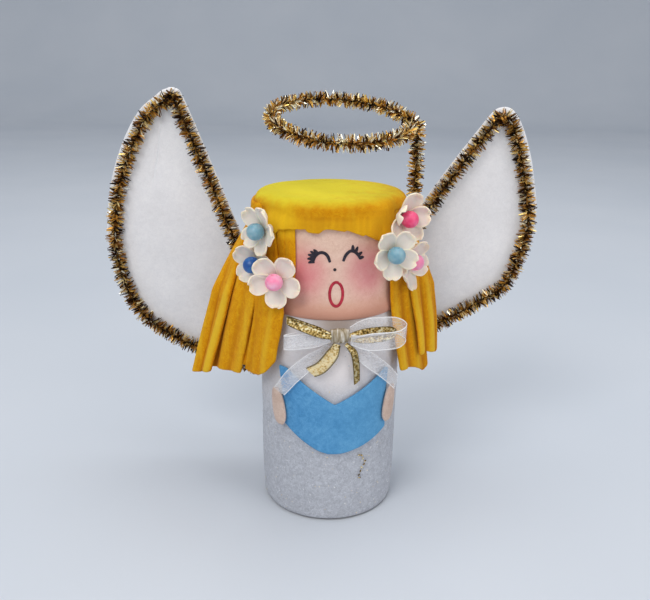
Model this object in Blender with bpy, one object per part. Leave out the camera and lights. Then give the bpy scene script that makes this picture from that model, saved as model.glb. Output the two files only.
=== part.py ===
"""Standing angel ornament: a cardboard tube dressed in felt, with trimmed wings and a tinsel halo.

Units are metres, +Z is up and the face looks along -Y.
"""
import math

import bmesh
import bpy
from mathutils import Vector

# Clearances between neighbouring pieces
SEAT_GAP = 0.0003
FOLD_GAP = 0.0005

# Cardboard tube
TUBE_RADIUS = 0.0206
TUBE_WALL = 0.0010
TUBE_HEIGHT = 0.1050

# Gown of white felt around the tube
GOWN_FELT = 0.0010
GOWN_FULLNESS = 0.0010
GOWN_HEM_SLACK = 0.0003
GOWN_HEM_HEIGHT = 0.0005
SEAM_HALF_ANGLE = 0.8

# Face band above the gown
FACE_HEIGHT = 0.0328
FACE_FELT = 0.0008

# Yellow felt hair
HAIR_FELT = 0.0011
CAP_FELT = 0.0016
CAP_DOME = 0.0006
CAP_LIP = 0.0010
FRINGE_EDGE = (
    # azimuth in degrees, drop below the tube's top
    (-57.0, 0.0090), (-44.5, 0.0082), (-43.5, 0.0260), (-29.5, 0.0245), (-28.5, 0.0062),
    (0.0, 0.0054), (26.0, 0.0090), (43.0, 0.0113), (44.0, 0.0195), (50.0, 0.0200),
)
HAIR_BACK_DROP = 0.0310
HAIR_BACK_HALF_ANGLE = 58.0
FLAP_BACK_ANGLE = 118.0

# Side hair: ends of the fold and tip lines as (azimuth, stand-off from the head felt), the fold's drop
# below the tube's top, and each lock's start and end share of the fold with its length
LEFT_HAIR = {
    "side": -1, "front_angle": 70.0, "fold_drop": 0.0330,
    "fold_front": (40.4, 0.0019), "fold_back": (96.9, 0.0165),
    "tip_front": (51.5, 0.0029), "tip_back": (100.0, 0.0242),
    "locks": ((0.00, 0.29, 0.0240), (0.36, 0.52, 0.0255), (0.54, 0.76, 0.0250), (0.78, 1.00, 0.0270)),
}
RIGHT_HAIR = {
    "side": 1, "front_angle": 52.0, "fold_drop": 0.0295,
    "fold_front": (51.2, 0.0011), "fold_back": (96.8, 0.0117),
    "tip_front": (59.4, 0.0036), "tip_back": (98.0, 0.0139),
    "locks": ((0.00, 0.46, 0.0275), (0.49, 0.74, 0.0285), (0.77, 1.00, 0.0225)),
}

# Song book and hands on the gown's front: lower and upper drops below the gown's top
PATCH_FELT = 0.0010
BOOK_CENTRE_ANGLE = 5.0
BOOK_HALF_ANGLE = 44.0
BOOK_SPINE = (0.0469, 0.0290)
BOOK_EDGE = (0.0372, 0.0180)
BOOK_HEM_CURVE = 1.4
HAND_HEIGHT = 0.0126
HAND_WIDTH = 0.0066
HAND_DROP = 0.0317
HAND_TIP_SHARE = 0.97
HAND_ANGLES = {"left_hand": -41.0, "right_hand": 51.7}

# Double bow of wide sheer ribbon and narrow gold ribbon
RIBBON = 0.00035
RIBBON_WIDTHS = {"sheer_ribbon": 0.0060, "gold_ribbon": 0.0026}
BOW_ANGLE = 6.5
BOW_DROP = 0.0054
KNOT_SIZE = (0.0064, 0.0032, 0.0042)
KNOT_TIP_SHARE = 0.92
LOOPS = {
    # ribbon, side, reach, belly, step forward, lift, climb, half gap at the knot
    "white_loop_left": ("sheer_ribbon", -1, 0.0130, 0.0020, 0.0004, -0.0004, -0.06, 0.0004),
    "gold_loop_left": ("gold_ribbon", -1, 0.0136, 0.0016, 0.0026, 0.0010, 0.24, 0.0005),
    "white_loop_right": ("sheer_ribbon", 1, 0.0172, 0.0050, 0.0014, 0.0000, 0.10, 0.0016),
    "gold_loop_right": ("gold_ribbon", 1, 0.0140, 0.0024, 0.0014, 0.0014, 0.12, 0.0006),
}
LOOP_OUTLINE = ((0.45, 0.50), (0.85, 0.43), (1.0, 0.0), (0.85, -0.43), (0.45, -0.50))
TAILS = {
    # ribbon, first layer under it, then azimuth and drop below the gown's top at its start and end
    "white_tail_left": ("sheer_ribbon", "gown", (-2.0, 0.0107), (-37.5, 0.0252)),
    "white_tail_right": ("sheer_ribbon", "gown", (14.0, 0.0107), (52.0, 0.0242)),
    "gold_tail_left": ("gold_ribbon", "book", (4.5, 0.0086), (-14.0, 0.0170)),
    "gold_tail_right": ("gold_ribbon", "book", (9.5, 0.0086), (19.0, 0.0210)),
}

# Flowers: centre azimuth, stand-off from the hair, drop below the tube's top, facing azimuth, turn, stalk
PETAL_REACH = 0.0080
PETAL_NOTCH = 0.0036
PETAL_FELT = 0.0007
PETAL_CUP = 0.0016
PETAL_COUNT = 5
PETAL_FULLNESS = 0.6
STALK_RADIUS = 0.0016
BEAD_RADIUS = 0.0027
FLOWERS = {
    "flower_left_front": (-38.2, 0.0033, 0.0219, -12.0, 10.0, 0.0026),
    "flower_left_outer": (-60.6, 0.0026, 0.0192, -41.0, -1.7, 0.0013),
    "flower_left_upper": (-49.1, 0.0038, 0.0077, -48.1, 30.8, 0.0035),
    "flower_right_front": (40.0, 0.0047, 0.0131, 18.7, -7.0, 0.0042),
    "flower_right_outer": (65.5, 0.0025, 0.0184, 64.9, 72.8, 0.0010),
    "flower_right_upper": (54.7, 0.0029, 0.0038, 34.4, 14.7, 0.0021),
}

# Wings: the tinsel's centre line from the lower root to the upper root, out from the fold and up from
# the gown's top
WING_SHEET = 0.0012
WING_MARGIN = 0.0026
WING_SWEEP = 4.0
TAB_START_ANGLE = 2.0
TAB_END_ANGLE = 28.0
TAB_FOLD_ANGLE = 0.8
TRIM_RADIUS = 0.0016
WINGS = {
    "left": {
        "tab": (-0.0412, -0.0262),
        "trim": ((0.0088, -0.0372), (0.0288, -0.0317), (0.0458, -0.0255), (0.0602, -0.0136),
                 (0.0663, 0.0081), (0.0632, 0.0315), (0.0538, 0.0524), (0.0472, 0.0589), (0.0435, 0.0610),
                 (0.0405, 0.0576), (0.0229, 0.0136), (0.0133, -0.0092)),
    },
    "right": {
        "tab": (-0.0362, -0.0092),
        "trim": ((0.0088, -0.0307), (0.0296, -0.0179), (0.0437, -0.0099), (0.0533, -0.0022),
                 (0.0587, 0.0178), (0.0563, 0.0341), (0.0530, 0.0458), (0.0496, 0.0541), (0.0462, 0.0564),
                 (0.0416, 0.0519), (0.0228, 0.0254), (0.0118, 0.0068)),
    },
}

# Halo of one bent tinsel stem: the ring's centre lies one radius and a step inward of its bend, and a step
# forward and above it
HALO_PIPE = 0.0015
HALO_RADIUS = 0.0213
HALO_STEP = (0.0027, 0.0031, 0.0057)
HALO_NOD = 13.0
HALO_ROLL = 3.0
HALO_SPAN = (22.0, 350.0)
HALO_BEND = ((-0.0001, 0.0003, 0.0016), (-0.0012, 0.0024, 0.0034))
STEM_ANGLE = 94.5
STEM_CLEARANCE = 0.0017
STEM_BURIED = 0.0080
STEM_LEAN_RISE = 0.0040
STEM_LENGTH = 0.0136

# Values worked out from the sizes above
TUBE_SKIN = TUBE_RADIUS + SEAT_GAP
GOWN_OUTER = TUBE_SKIN + GOWN_FULLNESS + GOWN_FELT
FACE_OUTER = TUBE_SKIN + FACE_FELT
HAIR_INNER = FACE_OUTER + SEAT_GAP
HAIR_OUTER = HAIR_INNER + HAIR_FELT
GOWN_TOP = TUBE_HEIGHT - FACE_HEIGHT
BOOK_INNER = GOWN_OUTER + SEAT_GAP
HAND_INNER = BOOK_INNER + PATCH_FELT + SEAT_GAP
RIBBON_OVER = {
    "gown": GOWN_OUTER + SEAT_GAP + RIBBON,
    "book": BOOK_INNER + PATCH_FELT + SEAT_GAP + RIBBON,
    "hand": HAND_INNER + PATCH_FELT + SEAT_GAP + RIBBON * 2,
}
CAP_UNDERSIDE = TUBE_HEIGHT + SEAT_GAP
CAP_TOP = CAP_UNDERSIDE + CAP_FELT
FLARE_RISE = HAIR_FELT * 0.4
HAIR_TOP = TUBE_HEIGHT - CAP_LIP - SEAT_GAP - FLARE_RISE

MATERIALS = {
    # colour, roughness, metallic
    "cardboard": ((0.42, 0.29, 0.17), 0.9, 0.0),
    "skin_felt": ((0.72, 0.48, 0.38), 0.8, 0.0),
    "white_felt": ((0.62, 0.60, 0.63), 0.95, 0.0),
    "yellow_felt": ((0.62, 0.36, 0.02), 0.95, 0.0),
    "blue_felt": ((0.09, 0.29, 0.55), 0.95, 0.0),
    "sheer_ribbon": ((0.70, 0.70, 0.72), 0.6, 0.0),
    "gold_ribbon": ((0.52, 0.39, 0.10), 0.35, 0.8),
    "petal_white": ((0.75, 0.69, 0.62), 0.6, 0.0),
    "bead_rose": ((0.85, 0.06, 0.22), 0.5, 0.0),
    "bead_pale_pink": ((0.91, 0.30, 0.46), 0.5, 0.0),
    "bead_sky": ((0.17, 0.40, 0.55), 0.5, 0.0),
    "bead_blue": ((0.02, 0.11, 0.35), 0.5, 0.0),
    "wing_white": ((0.68, 0.67, 0.69), 0.8, 0.0),
    "tinsel_gold": ((0.45, 0.27, 0.06), 0.3, 0.9),
}
BEADS = {
    "flower_left_front": "bead_pale_pink",
    "flower_left_outer": "bead_blue",
    "flower_left_upper": "bead_sky",
    "flower_right_front": "bead_sky",
    "flower_right_outer": "bead_pale_pink",
    "flower_right_upper": "bead_rose",
}


def around(azimuth, radius, height):
    """Point on a cylinder about Z; azimuth 0 is the front and positive angles turn to +X."""
    angle = math.radians(azimuth)
    return Vector((radius * math.sin(angle), -radius * math.cos(angle), height))


def mix(a, b, share):
    return a + (b - a) * share


def stepped(pairs, value):
    """Straight-line reading of a short list of (position, value) pairs."""
    for (x0, y0), (x1, y1) in zip(pairs, pairs[1:]):
        if x0 <= value <= x1:
            return mix(y0, y1, (value - x0) / (x1 - x0))
    return None


def smooth_path(points, per_span):
    """Points along a smooth curve through the given points."""
    padded = [points[0] * 2 - points[1]] + points + [points[-1] * 2 - points[-2]]
    path = []
    for p0, p1, p2, p3 in zip(padded, padded[1:], padded[2:], padded[3:]):
        for step in range(per_span):
            t = step / per_span
            path.append(0.5 * (2 * p1 + (p2 - p0) * t + (2 * p0 - 5 * p1 + 4 * p2 - p3) * t ** 2
                               + (3 * p1 - p0 - 3 * p2 + p3) * t ** 3))
    path.append(points[-1])
    return path


def finish(name):
    """Plain surface finish, made once for each material name."""
    if name in bpy.data.materials:
        return bpy.data.materials[name]
    colour, roughness, metallic = MATERIALS[name]
    material = bpy.data.materials.new(name)
    material.use_nodes = True
    shader = material.node_tree.nodes["Principled BSDF"]
    shader.inputs["Base Color"].default_value = (*colour, 1.0)
    shader.inputs["Roughness"].default_value = roughness
    shader.inputs["Metallic"].default_value = metallic
    return material


def body(name, pivot, parent=None):
    """Empty at a body's pivot; its pieces hang on it."""
    empty = bpy.data.objects.new(name, None)
    bpy.context.collection.objects.link(empty)
    empty["pivot"] = pivot
    empty.location = pivot
    if parent:
        empty.parent = parent
        empty.location = pivot - Vector(parent["pivot"])
    return empty


def hang(thing, holder, material):
    """Put a finished object on its body."""
    thing.data.materials.append(finish(material))
    bpy.context.collection.objects.link(thing)
    thing.parent = holder
    return thing


def solid(name, holder, form, material, sharp_angle=40.0):
    """Object from a bmesh whose points are given in the figure's frame."""
    bmesh.ops.translate(form, verts=form.verts, vec=-Vector(holder["pivot"]))
    mesh = bpy.data.meshes.new(name)
    form.to_mesh(mesh)
    form.free()
    mesh.shade_smooth()
    mesh.set_sharp_from_angle(angle=math.radians(sharp_angle))
    return hang(bpy.data.objects.new(name, mesh), holder, material)


def sheet(name, holder, rows, thickness, material, side=1.0):
    """Felt, card or ribbon: a grid of points given a thickness on its outer side."""
    form = bmesh.new()
    grid = [[form.verts.new(point) for point in row] for row in rows]
    for low, high in zip(grid, grid[1:]):
        for a, b, c, d in zip(low, low[1:], high[1:], high):
            form.faces.new((a, b, c, d))
    piece = solid(name, holder, form, material)
    thicken = piece.modifiers.new("thickness", "SOLIDIFY")
    thicken.thickness = thickness
    thicken.offset = side
    thicken.use_even_offset = True
    return piece


def loft(name, holder, rings, material):
    """Closed body through rings of points, with both ends capped."""
    form = bmesh.new()
    loops = [[form.verts.new(point) for point in ring] for ring in rings]
    for low, high in zip(loops, loops[1:]):
        for a, b, c, d in zip(low, low[1:] + low[:1], high[1:] + high[:1], high):
            form.faces.new((a, b, c, d))
    form.faces.new(loops[0][::-1])
    form.faces.new(loops[-1])
    bmesh.ops.recalc_face_normals(form, faces=form.faces)
    return solid(name, holder, form, material)


def pipe(name, holder, points, radius, material):
    """Bent round stem along a path, with filled ends."""
    curve = bpy.data.curves.new(name, "CURVE")
    curve.dimensions = "3D"
    curve.bevel_depth = radius
    curve.bevel_resolution = 2
    curve.use_fill_caps = True
    spline = curve.splines.new("POLY")
    spline.points.add(len(points) - 1)
    for slot, point in zip(spline.points, points):
        slot.co = (*(point - Vector(holder["pivot"])), 1.0)
    return hang(bpy.data.objects.new(name, curve), holder, material)


def spread(count, start, end):
    """Evenly spaced values, both ends included."""
    return [mix(start, end, step / (count - 1)) for step in range(count)]


def wrap(name, holder, angles, profile, thickness, material):
    """Sheet wrapped about the tube: profile holds (height, inner radius) from the bottom up."""
    rows = [[around(angle, radius, height) for angle in angles] for height, radius in profile]
    return sheet(name, holder, rows, thickness, material)


def cardboard_tube(figure):
    form = bmesh.new()
    bmesh.ops.create_cone(form, segments=48, radius1=TUBE_RADIUS, radius2=TUBE_RADIUS, depth=TUBE_HEIGHT)
    bmesh.ops.translate(form, verts=form.verts, vec=(0, 0, TUBE_HEIGHT / 2))
    tube = solid("cardboard_tube", figure, form, "cardboard")
    wall = tube.modifiers.new("wall", "SOLIDIFY")
    wall.thickness = TUBE_WALL
    wall.offset = -1.0
    wall.use_even_offset = True


def gown_and_face(figure):
    seam = 180.0 - SEAM_HALF_ANGLE
    hem = TUBE_SKIN + GOWN_HEM_SLACK
    full = TUBE_SKIN + GOWN_FULLNESS
    gown = (
        (GOWN_HEM_HEIGHT, hem),
        (mix(GOWN_HEM_HEIGHT, GOWN_TOP, 0.16), mix(hem, full, 0.7)),
        (mix(GOWN_HEM_HEIGHT, GOWN_TOP, 0.32), full),
        (mix(GOWN_HEM_HEIGHT, GOWN_TOP, 0.84), full),
        (mix(GOWN_HEM_HEIGHT, GOWN_TOP, 0.93), mix(TUBE_SKIN, full, 0.5)),
        (GOWN_TOP, TUBE_SKIN),
    )
    angles = spread(41, -seam, seam)
    wrap("gown_wrap", figure, angles, gown, GOWN_FELT, "white_felt")
    face = ((GOWN_TOP + SEAT_GAP, TUBE_SKIN), (TUBE_HEIGHT - SEAT_GAP, TUBE_SKIN))
    wrap("face_band", figure, angles, face, FACE_FELT, "skin_felt")


def hair_cap(figure):
    """Round felt top with a lip turned down all round and a cut fringe over the forehead."""
    steps = 64
    angles = [step * 360.0 / steps - 180.0 for step in range(steps)]

    def hem(angle):
        drop = stepped(FRINGE_EDGE, angle)
        return TUBE_HEIGHT - (CAP_LIP if drop is None else drop)

    def ring(radius, height):
        return [around(angle, radius, height) for angle in angles]

    shoulder = CAP_FELT / 2
    rings = [
        ring(HAIR_OUTER * 0.06, CAP_TOP + CAP_DOME),
        ring(HAIR_OUTER * 0.55, CAP_TOP + CAP_DOME * 0.7),
        ring(HAIR_OUTER - shoulder, CAP_TOP),
        ring(HAIR_OUTER, CAP_TOP - shoulder),
        [around(angle, HAIR_OUTER, hem(angle)) for angle in angles],
        [around(angle, HAIR_INNER, hem(angle)) for angle in angles],
        ring(HAIR_INNER, CAP_UNDERSIDE),
        ring(HAIR_OUTER * 0.06, CAP_UNDERSIDE),
    ]
    loft("hair_cap", figure, rings, "yellow_felt")


def hair_back(figure):
    angles = spread(17, 180.0 - HAIR_BACK_HALF_ANGLE, 180.0 + HAIR_BACK_HALF_ANGLE)
    profile = ((TUBE_HEIGHT - HAIR_BACK_DROP, HAIR_INNER), (HAIR_TOP, HAIR_INNER))
    wrap("hair_back", figure, angles, profile, HAIR_FELT, "yellow_felt")


def hair_line(hair, front, back, height, share):
    """Point of a straight hair line between its front and back ends."""
    ends = [around(hair["side"] * angle, HAIR_INNER + off, height) for angle, off in (front, back)]
    return mix(ends[0], ends[1], share)


def fold_line(hair, share, lift=0.0):
    height = TUBE_HEIGHT - hair["fold_drop"] + lift
    return hair_line(hair, hair["fold_front"], hair["fold_back"], height, share)


def outward(hair, shares):
    """Shares ordered so that the grid faces away from the head."""
    return list(shares) if hair["side"] > 0 else list(shares)[::-1]


def side_hair(word, hair, figure, locks):
    """Fixed flap under the cap's lip, and the loose locks below its fold."""
    top_angles = (hair["front_angle"], FLAP_BACK_ANGLE)
    shares = outward(hair, spread(9, 0.0, 1.0))

    def flap_point(share, rise):
        low = fold_line(hair, share, SEAT_GAP)
        high = around(hair["side"] * mix(*top_angles, share), HAIR_INNER, HAIR_TOP)
        return mix(low, high, rise)

    rows = [[flap_point(share, rise) for share in shares] for rise in spread(5, 0.0, 1.0)]
    sheet(f"hair_flap_{word}", figure, rows, HAIR_FELT, "yellow_felt")

    for number, (start, end, length) in enumerate(hair["locks"], 1):
        bottom = TUBE_HEIGHT - hair["fold_drop"] - length
        lock_shares = outward(hair, spread(4, start, end))
        rows = []
        for rise in spread(4, 0.0, 1.0):
            row = []
            for share in lock_shares:
                low = hair_line(hair, hair["tip_front"], hair["tip_back"], bottom, share)
                row.append(mix(low, fold_line(hair, share, -FOLD_GAP), rise))
            rows.append(row)
        sheet(f"{word}_lock_{number}", locks, rows, HAIR_FELT, "yellow_felt")


def song_book(figure):
    """Open book cut from one piece of felt, its pages rising from the spine."""
    rows = []
    for rise in spread(4, 0.0, 1.0):
        row = []
        for angle in spread(15, -BOOK_HALF_ANGLE, BOOK_HALF_ANGLE):
            out = abs(angle) / BOOK_HALF_ANGLE
            low = mix(BOOK_SPINE[0], BOOK_EDGE[0], out ** BOOK_HEM_CURVE)
            high = mix(BOOK_SPINE[1], BOOK_EDGE[1], out)
            row.append(around(BOOK_CENTRE_ANGLE + angle, BOOK_INNER, GOWN_TOP - mix(low, high, rise)))
        rows.append(row)
    sheet("song_book", figure, rows, PATCH_FELT, "blue_felt")


def hands(figure):
    for name, centre in HAND_ANGLES.items():
        rows = []
        for rise in spread(9, -HAND_TIP_SHARE, HAND_TIP_SHARE):
            half = math.degrees(HAND_WIDTH / 2 * math.sqrt(1.0 - rise ** 2) / HAND_INNER)
            height = GOWN_TOP - HAND_DROP + rise * HAND_HEIGHT / 2
            rows.append([around(centre + off, HAND_INNER, height) for off in spread(5, -half, half)])
        sheet(name, figure, rows, PATCH_FELT, "skin_felt")


def bow(figure):
    """Knot, two loops and two tails of each ribbon."""
    depth = KNOT_SIZE[1] / 2
    knot_radius = GOWN_OUTER + SEAT_GAP + depth
    knot = around(BOW_ANGLE, knot_radius, GOWN_TOP - BOW_DROP)
    across = around(BOW_ANGLE + 90.0, 1.0, 0.0)
    out = around(BOW_ANGLE, 1.0, 0.0)
    up = Vector((0.0, 0.0, 1.0))
    rings = []
    for rise in spread(7, -KNOT_TIP_SHARE, KNOT_TIP_SHARE):
        wide = math.sqrt(1.0 - rise ** 2)
        ring = []
        for step in range(12):
            turn = step * math.pi / 6
            ring.append(knot + across * (rise * KNOT_SIZE[0] / 2) + out * (wide * depth * math.cos(turn))
                        + up * (wide * KNOT_SIZE[2] / 2 * math.sin(turn)))
        rings.append(ring)
    loft("bow_knot", figure, rings, "sheer_ribbon")

    for name, (ribbon, side, reach, belly, forward, lift, climb, pinch) in LOOPS.items():
        start = knot + across * side * (KNOT_SIZE[0] / 2 + SEAT_GAP) + out * forward + up * lift
        away = (across * side + up * climb).normalized()
        curve = [(along, belly * off) for along, off in LOOP_OUTLINE]
        outline = [(0.0, pinch)] + curve + [(0.0, -pinch)]
        path = smooth_path([start + away * (reach * along) + out * off for along, off in outline], 3)
        half = up * (RIBBON_WIDTHS[ribbon] / 2)
        rows = [[point - half, point + half] for point in path]
        sheet(name, figure, rows, RIBBON, ribbon, side=0.0)

    for name, (ribbon, under, start, end) in TAILS.items():
        path = []
        for share in spread(7, 0.0, 1.0):
            radius = mix(RIBBON_OVER[under], RIBBON_OVER["hand"], share)
            drop = mix(start[1], end[1], share)
            path.append(around(mix(start[0], end[0], share), radius, GOWN_TOP - drop))
        run = (path[-1] - path[0]).normalized()
        rows = []
        for point in path:
            normal = Vector((point.x, point.y, 0.0)).normalized()
            half = run.cross(normal).normalized() * (RIBBON_WIDTHS[ribbon] / 2)
            rows.append([point - half, point + half])
        sheet(name, figure, rows, RIBBON, ribbon, side=0.0)


def flowers(figure):
    """Five-petal flowers on short stalks, each with a round bead in the middle."""
    sides = 40
    for name, (azimuth, off, drop, facing, turn, stalk) in FLOWERS.items():
        centre = around(azimuth, HAIR_OUTER + off, TUBE_HEIGHT - drop)
        front = around(facing, 1.0, 0.0)
        right = around(facing + 90.0, 1.0, 0.0)
        up = Vector((0.0, 0.0, 1.0))

        def ring(radius, level, lobed=0.0):
            points = []
            for step in range(sides):
                theta = 2 * math.pi * step / sides
                wave = abs(math.cos(PETAL_COUNT * theta / 2)) ** PETAL_FULLNESS
                reach = mix(radius, mix(PETAL_NOTCH, PETAL_REACH, wave), lobed)
                rise = level + lobed * PETAL_CUP * wave
                angle = theta + math.radians(turn)
                spoke = right * math.cos(angle) + up * math.sin(angle)
                points.append(centre + front * rise + spoke * reach)
            return points

        rings = [
            ring(STALK_RADIUS, -stalk),
            ring(STALK_RADIUS, -PETAL_FELT),
            ring(PETAL_NOTCH * 0.9, -PETAL_FELT),
            ring(0.0, -PETAL_FELT, 1.0),
            ring(0.0, 0.0, 1.0),
            ring(PETAL_NOTCH * 0.9, 0.0),
            ring(STALK_RADIUS, 0.0),
        ]
        loft(f"{name}_petals", figure, rings, "petal_white")
        form = bmesh.new()
        bmesh.ops.create_uvsphere(form, u_segments=10, v_segments=6, radius=BEAD_RADIUS)
        bmesh.ops.translate(form, verts=form.verts, vec=centre + front * (BEAD_RADIUS + SEAT_GAP))
        solid(f"{name}_bead", figure, form, BEADS[name], 60.0)


def wing_fold(side):
    """Point of a wing's vertical fold line, where its tab leaves the gown."""
    radius = GOWN_OUTER + SEAT_GAP + WING_SHEET / 2
    return around(side * (180.0 - TAB_END_ANGLE), radius, 0.0)


def wing(word, side, figure, holder):
    """Glued tab, flexing panel and the tinsel stem along the panel's front edge."""
    low, high = [GOWN_TOP + rise for rise in WINGS[word]["tab"]]
    tab_end = TAB_END_ANGLE - TAB_FOLD_ANGLE
    angles = sorted(side * (180.0 - angle) for angle in spread(6, TAB_START_ANGLE, tab_end))
    profile = ((low, GOWN_OUTER + SEAT_GAP), (high, GOWN_OUTER + SEAT_GAP))
    wrap(f"{word}_wing_tab", figure, angles, profile, WING_SHEET, "wing_white")

    fold = wing_fold(side)
    sweep = math.radians(WING_SWEEP)
    away = Vector((side * math.cos(sweep), math.sin(sweep), 0.0))
    front = Vector((side * math.sin(sweep), -math.cos(sweep), 0.0))
    up = Vector((0.0, 0.0, 1.0))

    def place(flat, forward):
        return fold + away * flat.x + up * flat.y + front * forward

    line = smooth_path([Vector((far, GOWN_TOP + rise)) for far, rise in WINGS[word]["trim"]], 3)
    edge = []
    for before, point, after in zip([line[0]] + line, line, line[1:] + [line[-1]]):
        run = (after - before).normalized()
        edge.append(point + Vector((run.y, -run.x)) * WING_MARGIN)
    outline = [Vector((FOLD_GAP, low))] + edge + [Vector((FOLD_GAP, high))]

    form = bmesh.new()
    face = form.faces.new([form.verts.new(place(point, WING_SHEET / 2)) for point in outline])
    pulled = bmesh.ops.extrude_face_region(form, geom=[face])
    moved = [item for item in pulled["geom"] if isinstance(item, bmesh.types.BMVert)]
    bmesh.ops.translate(form, verts=moved, vec=-front * WING_SHEET)
    bmesh.ops.recalc_face_normals(form, faces=form.faces)
    solid(f"{word}_wing_panel", holder, form, "wing_white")

    ahead = WING_SHEET / 2 + SEAT_GAP + TRIM_RADIUS
    pipe(f"{word}_wing_trim", holder, [place(point, ahead) for point in line], TRIM_RADIUS, "tinsel_gold")


def stem_joints():
    """Bend points of the halo's stem: just above the hair, and just below the ring."""
    foot = around(STEM_ANGLE, HAIR_OUTER + STEM_CLEARANCE + HALO_PIPE, TUBE_HEIGHT + STEM_LEAN_RISE)
    return foot, foot + Vector((0.0, 0.0, STEM_LENGTH))


def halo(figure, stem_holder, ring_holder):
    lean, nod = stem_joints()
    up = Vector((0.0, 0.0, 1.0))
    shoulder = HALO_PIPE + SEAT_GAP
    root_foot = Vector((lean.x, lean.y, TUBE_HEIGHT - STEM_BURIED))
    pipe("halo_root", figure, [root_foot, lean - up * shoulder], HALO_PIPE, "tinsel_gold")

    sides = 8
    rings = []
    for centre, first, last in ((lean, -85.0, 0.0), (nod, 0.0, 85.0)):
        for tilt in spread(4, first, last):
            wide = HALO_PIPE * math.cos(math.radians(tilt))
            level = centre.z + HALO_PIPE * math.sin(math.radians(tilt))
            rings.append([Vector((centre.x + wide * math.cos(2 * math.pi * step / sides),
                                  centre.y + wide * math.sin(2 * math.pi * step / sides), level))
                          for step in range(sides)])
    loft("halo_stem", stem_holder, rings, "tinsel_gold")

    nod_angle = math.radians(HALO_NOD)
    roll_angle = math.radians(HALO_ROLL)
    right = Vector((math.cos(roll_angle), 0.0, -math.sin(roll_angle)))
    back = Vector((0.0, math.cos(nod_angle), math.sin(nod_angle)))
    inward, forward, rise = HALO_STEP
    centre = nod + Vector((-HALO_RADIUS - inward, -forward, rise))
    start = nod + up * shoulder
    bend = [start] + [start + Vector(step) for step in HALO_BEND]
    turns = [math.radians(angle) for angle in spread(34, *HALO_SPAN)]
    loop = [centre + (right * math.cos(angle) + back * math.sin(angle)) * HALO_RADIUS for angle in turns]
    pipe("halo_ring", ring_holder, bend + loop, HALO_PIPE, "tinsel_gold")


def stand_on_origin(root):
    """Move the whole figure so that the middle of its base box is the origin."""
    bpy.context.view_layer.update()
    graph = bpy.context.evaluated_depsgraph_get()
    corners = []
    for thing in bpy.context.scene.objects:
        if thing.type == "EMPTY":
            continue
        shown = thing.evaluated_get(graph)
        mesh = shown.to_mesh()
        corners.extend(thing.matrix_world @ vertex.co for vertex in mesh.vertices)
        shown.to_mesh_clear()
    low = Vector([min(corner[axis] for corner in corners) for axis in range(3)])
    high = Vector([max(corner[axis] for corner in corners) for axis in range(3)])
    root.location -= Vector(((low.x + high.x) / 2, (low.y + high.y) / 2, low.z))


def main():
    for thing in list(bpy.data.objects):
        bpy.data.objects.remove(thing, do_unlink=True)
    figure = body("figure", Vector((0.0, 0.0, 0.0)))
    lean, nod = stem_joints()
    stem_holder = body("halo_stem_body", lean, figure)
    ring_holder = body("halo_ring_body", nod, stem_holder)

    cardboard_tube(figure)
    gown_and_face(figure)
    hair_cap(figure)
    hair_back(figure)
    for word, hair in (("left", LEFT_HAIR), ("right", RIGHT_HAIR)):
        locks = body(f"{word}_locks_body", fold_line(hair, 0.5), figure)
        side_hair(word, hair, figure, locks)
    song_book(figure)
    hands(figure)
    bow(figure)
    flowers(figure)
    for word, side in (("left", -1), ("right", 1)):
        wing(word, side, figure, body(f"{word}_wing_body", wing_fold(side), figure))
    halo(figure, stem_holder, ring_holder)
    stand_on_origin(figure)


main()
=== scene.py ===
"""Looks of a standing angel ornament: felt over a cardboard roll, ribbon bow, hair flowers,
tinsel-edged wings and a tinsel halo. Metres, +Z up, the face looks along -Y.
"""
import random
from math import copysign, cos, degrees, exp, hypot, pi, radians, sin, sqrt, tan

import bpy
import numpy as np
from mathutils import Matrix, Vector, noise


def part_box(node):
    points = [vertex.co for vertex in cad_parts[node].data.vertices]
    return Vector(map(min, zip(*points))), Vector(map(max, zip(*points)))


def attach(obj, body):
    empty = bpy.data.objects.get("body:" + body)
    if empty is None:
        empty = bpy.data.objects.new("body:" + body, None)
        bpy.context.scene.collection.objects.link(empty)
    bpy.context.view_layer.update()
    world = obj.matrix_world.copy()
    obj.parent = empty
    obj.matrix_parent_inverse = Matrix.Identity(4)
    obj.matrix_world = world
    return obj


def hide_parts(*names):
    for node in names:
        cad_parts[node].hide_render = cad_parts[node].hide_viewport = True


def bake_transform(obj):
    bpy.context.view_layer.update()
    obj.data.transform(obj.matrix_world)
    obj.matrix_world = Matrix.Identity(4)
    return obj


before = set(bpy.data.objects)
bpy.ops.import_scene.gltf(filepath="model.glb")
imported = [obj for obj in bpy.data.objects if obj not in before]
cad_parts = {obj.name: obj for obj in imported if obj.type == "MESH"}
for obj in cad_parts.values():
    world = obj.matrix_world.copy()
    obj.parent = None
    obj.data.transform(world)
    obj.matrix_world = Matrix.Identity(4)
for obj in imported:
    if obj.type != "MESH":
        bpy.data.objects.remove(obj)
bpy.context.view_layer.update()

UP = Vector((0, 0, 1))
tube_low, tube_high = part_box("cardboard_tube")
AXIS = (tube_low + tube_high) / 2
TUBE_TOP = tube_high.z
GOWN_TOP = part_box("gown_wrap")[1].z
GOWN_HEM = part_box("gown_wrap")[0].z


def half_width(node):
    low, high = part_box(node)
    return (high.x - low.x) / 2


GOWN_R = half_width("gown_wrap")
FACE_R = half_width("face_band")
HAIR_R = half_width("hair_cap")
FELT = 0.0011
PATCH_FELT = 0.001
GLUE = 0.0003
HAIR_IN = HAIR_R - FELT
CAP_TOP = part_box("hair_cap")[1].z
HAIR_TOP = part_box("hair_back")[1].z


# Shader signals and finishes

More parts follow.
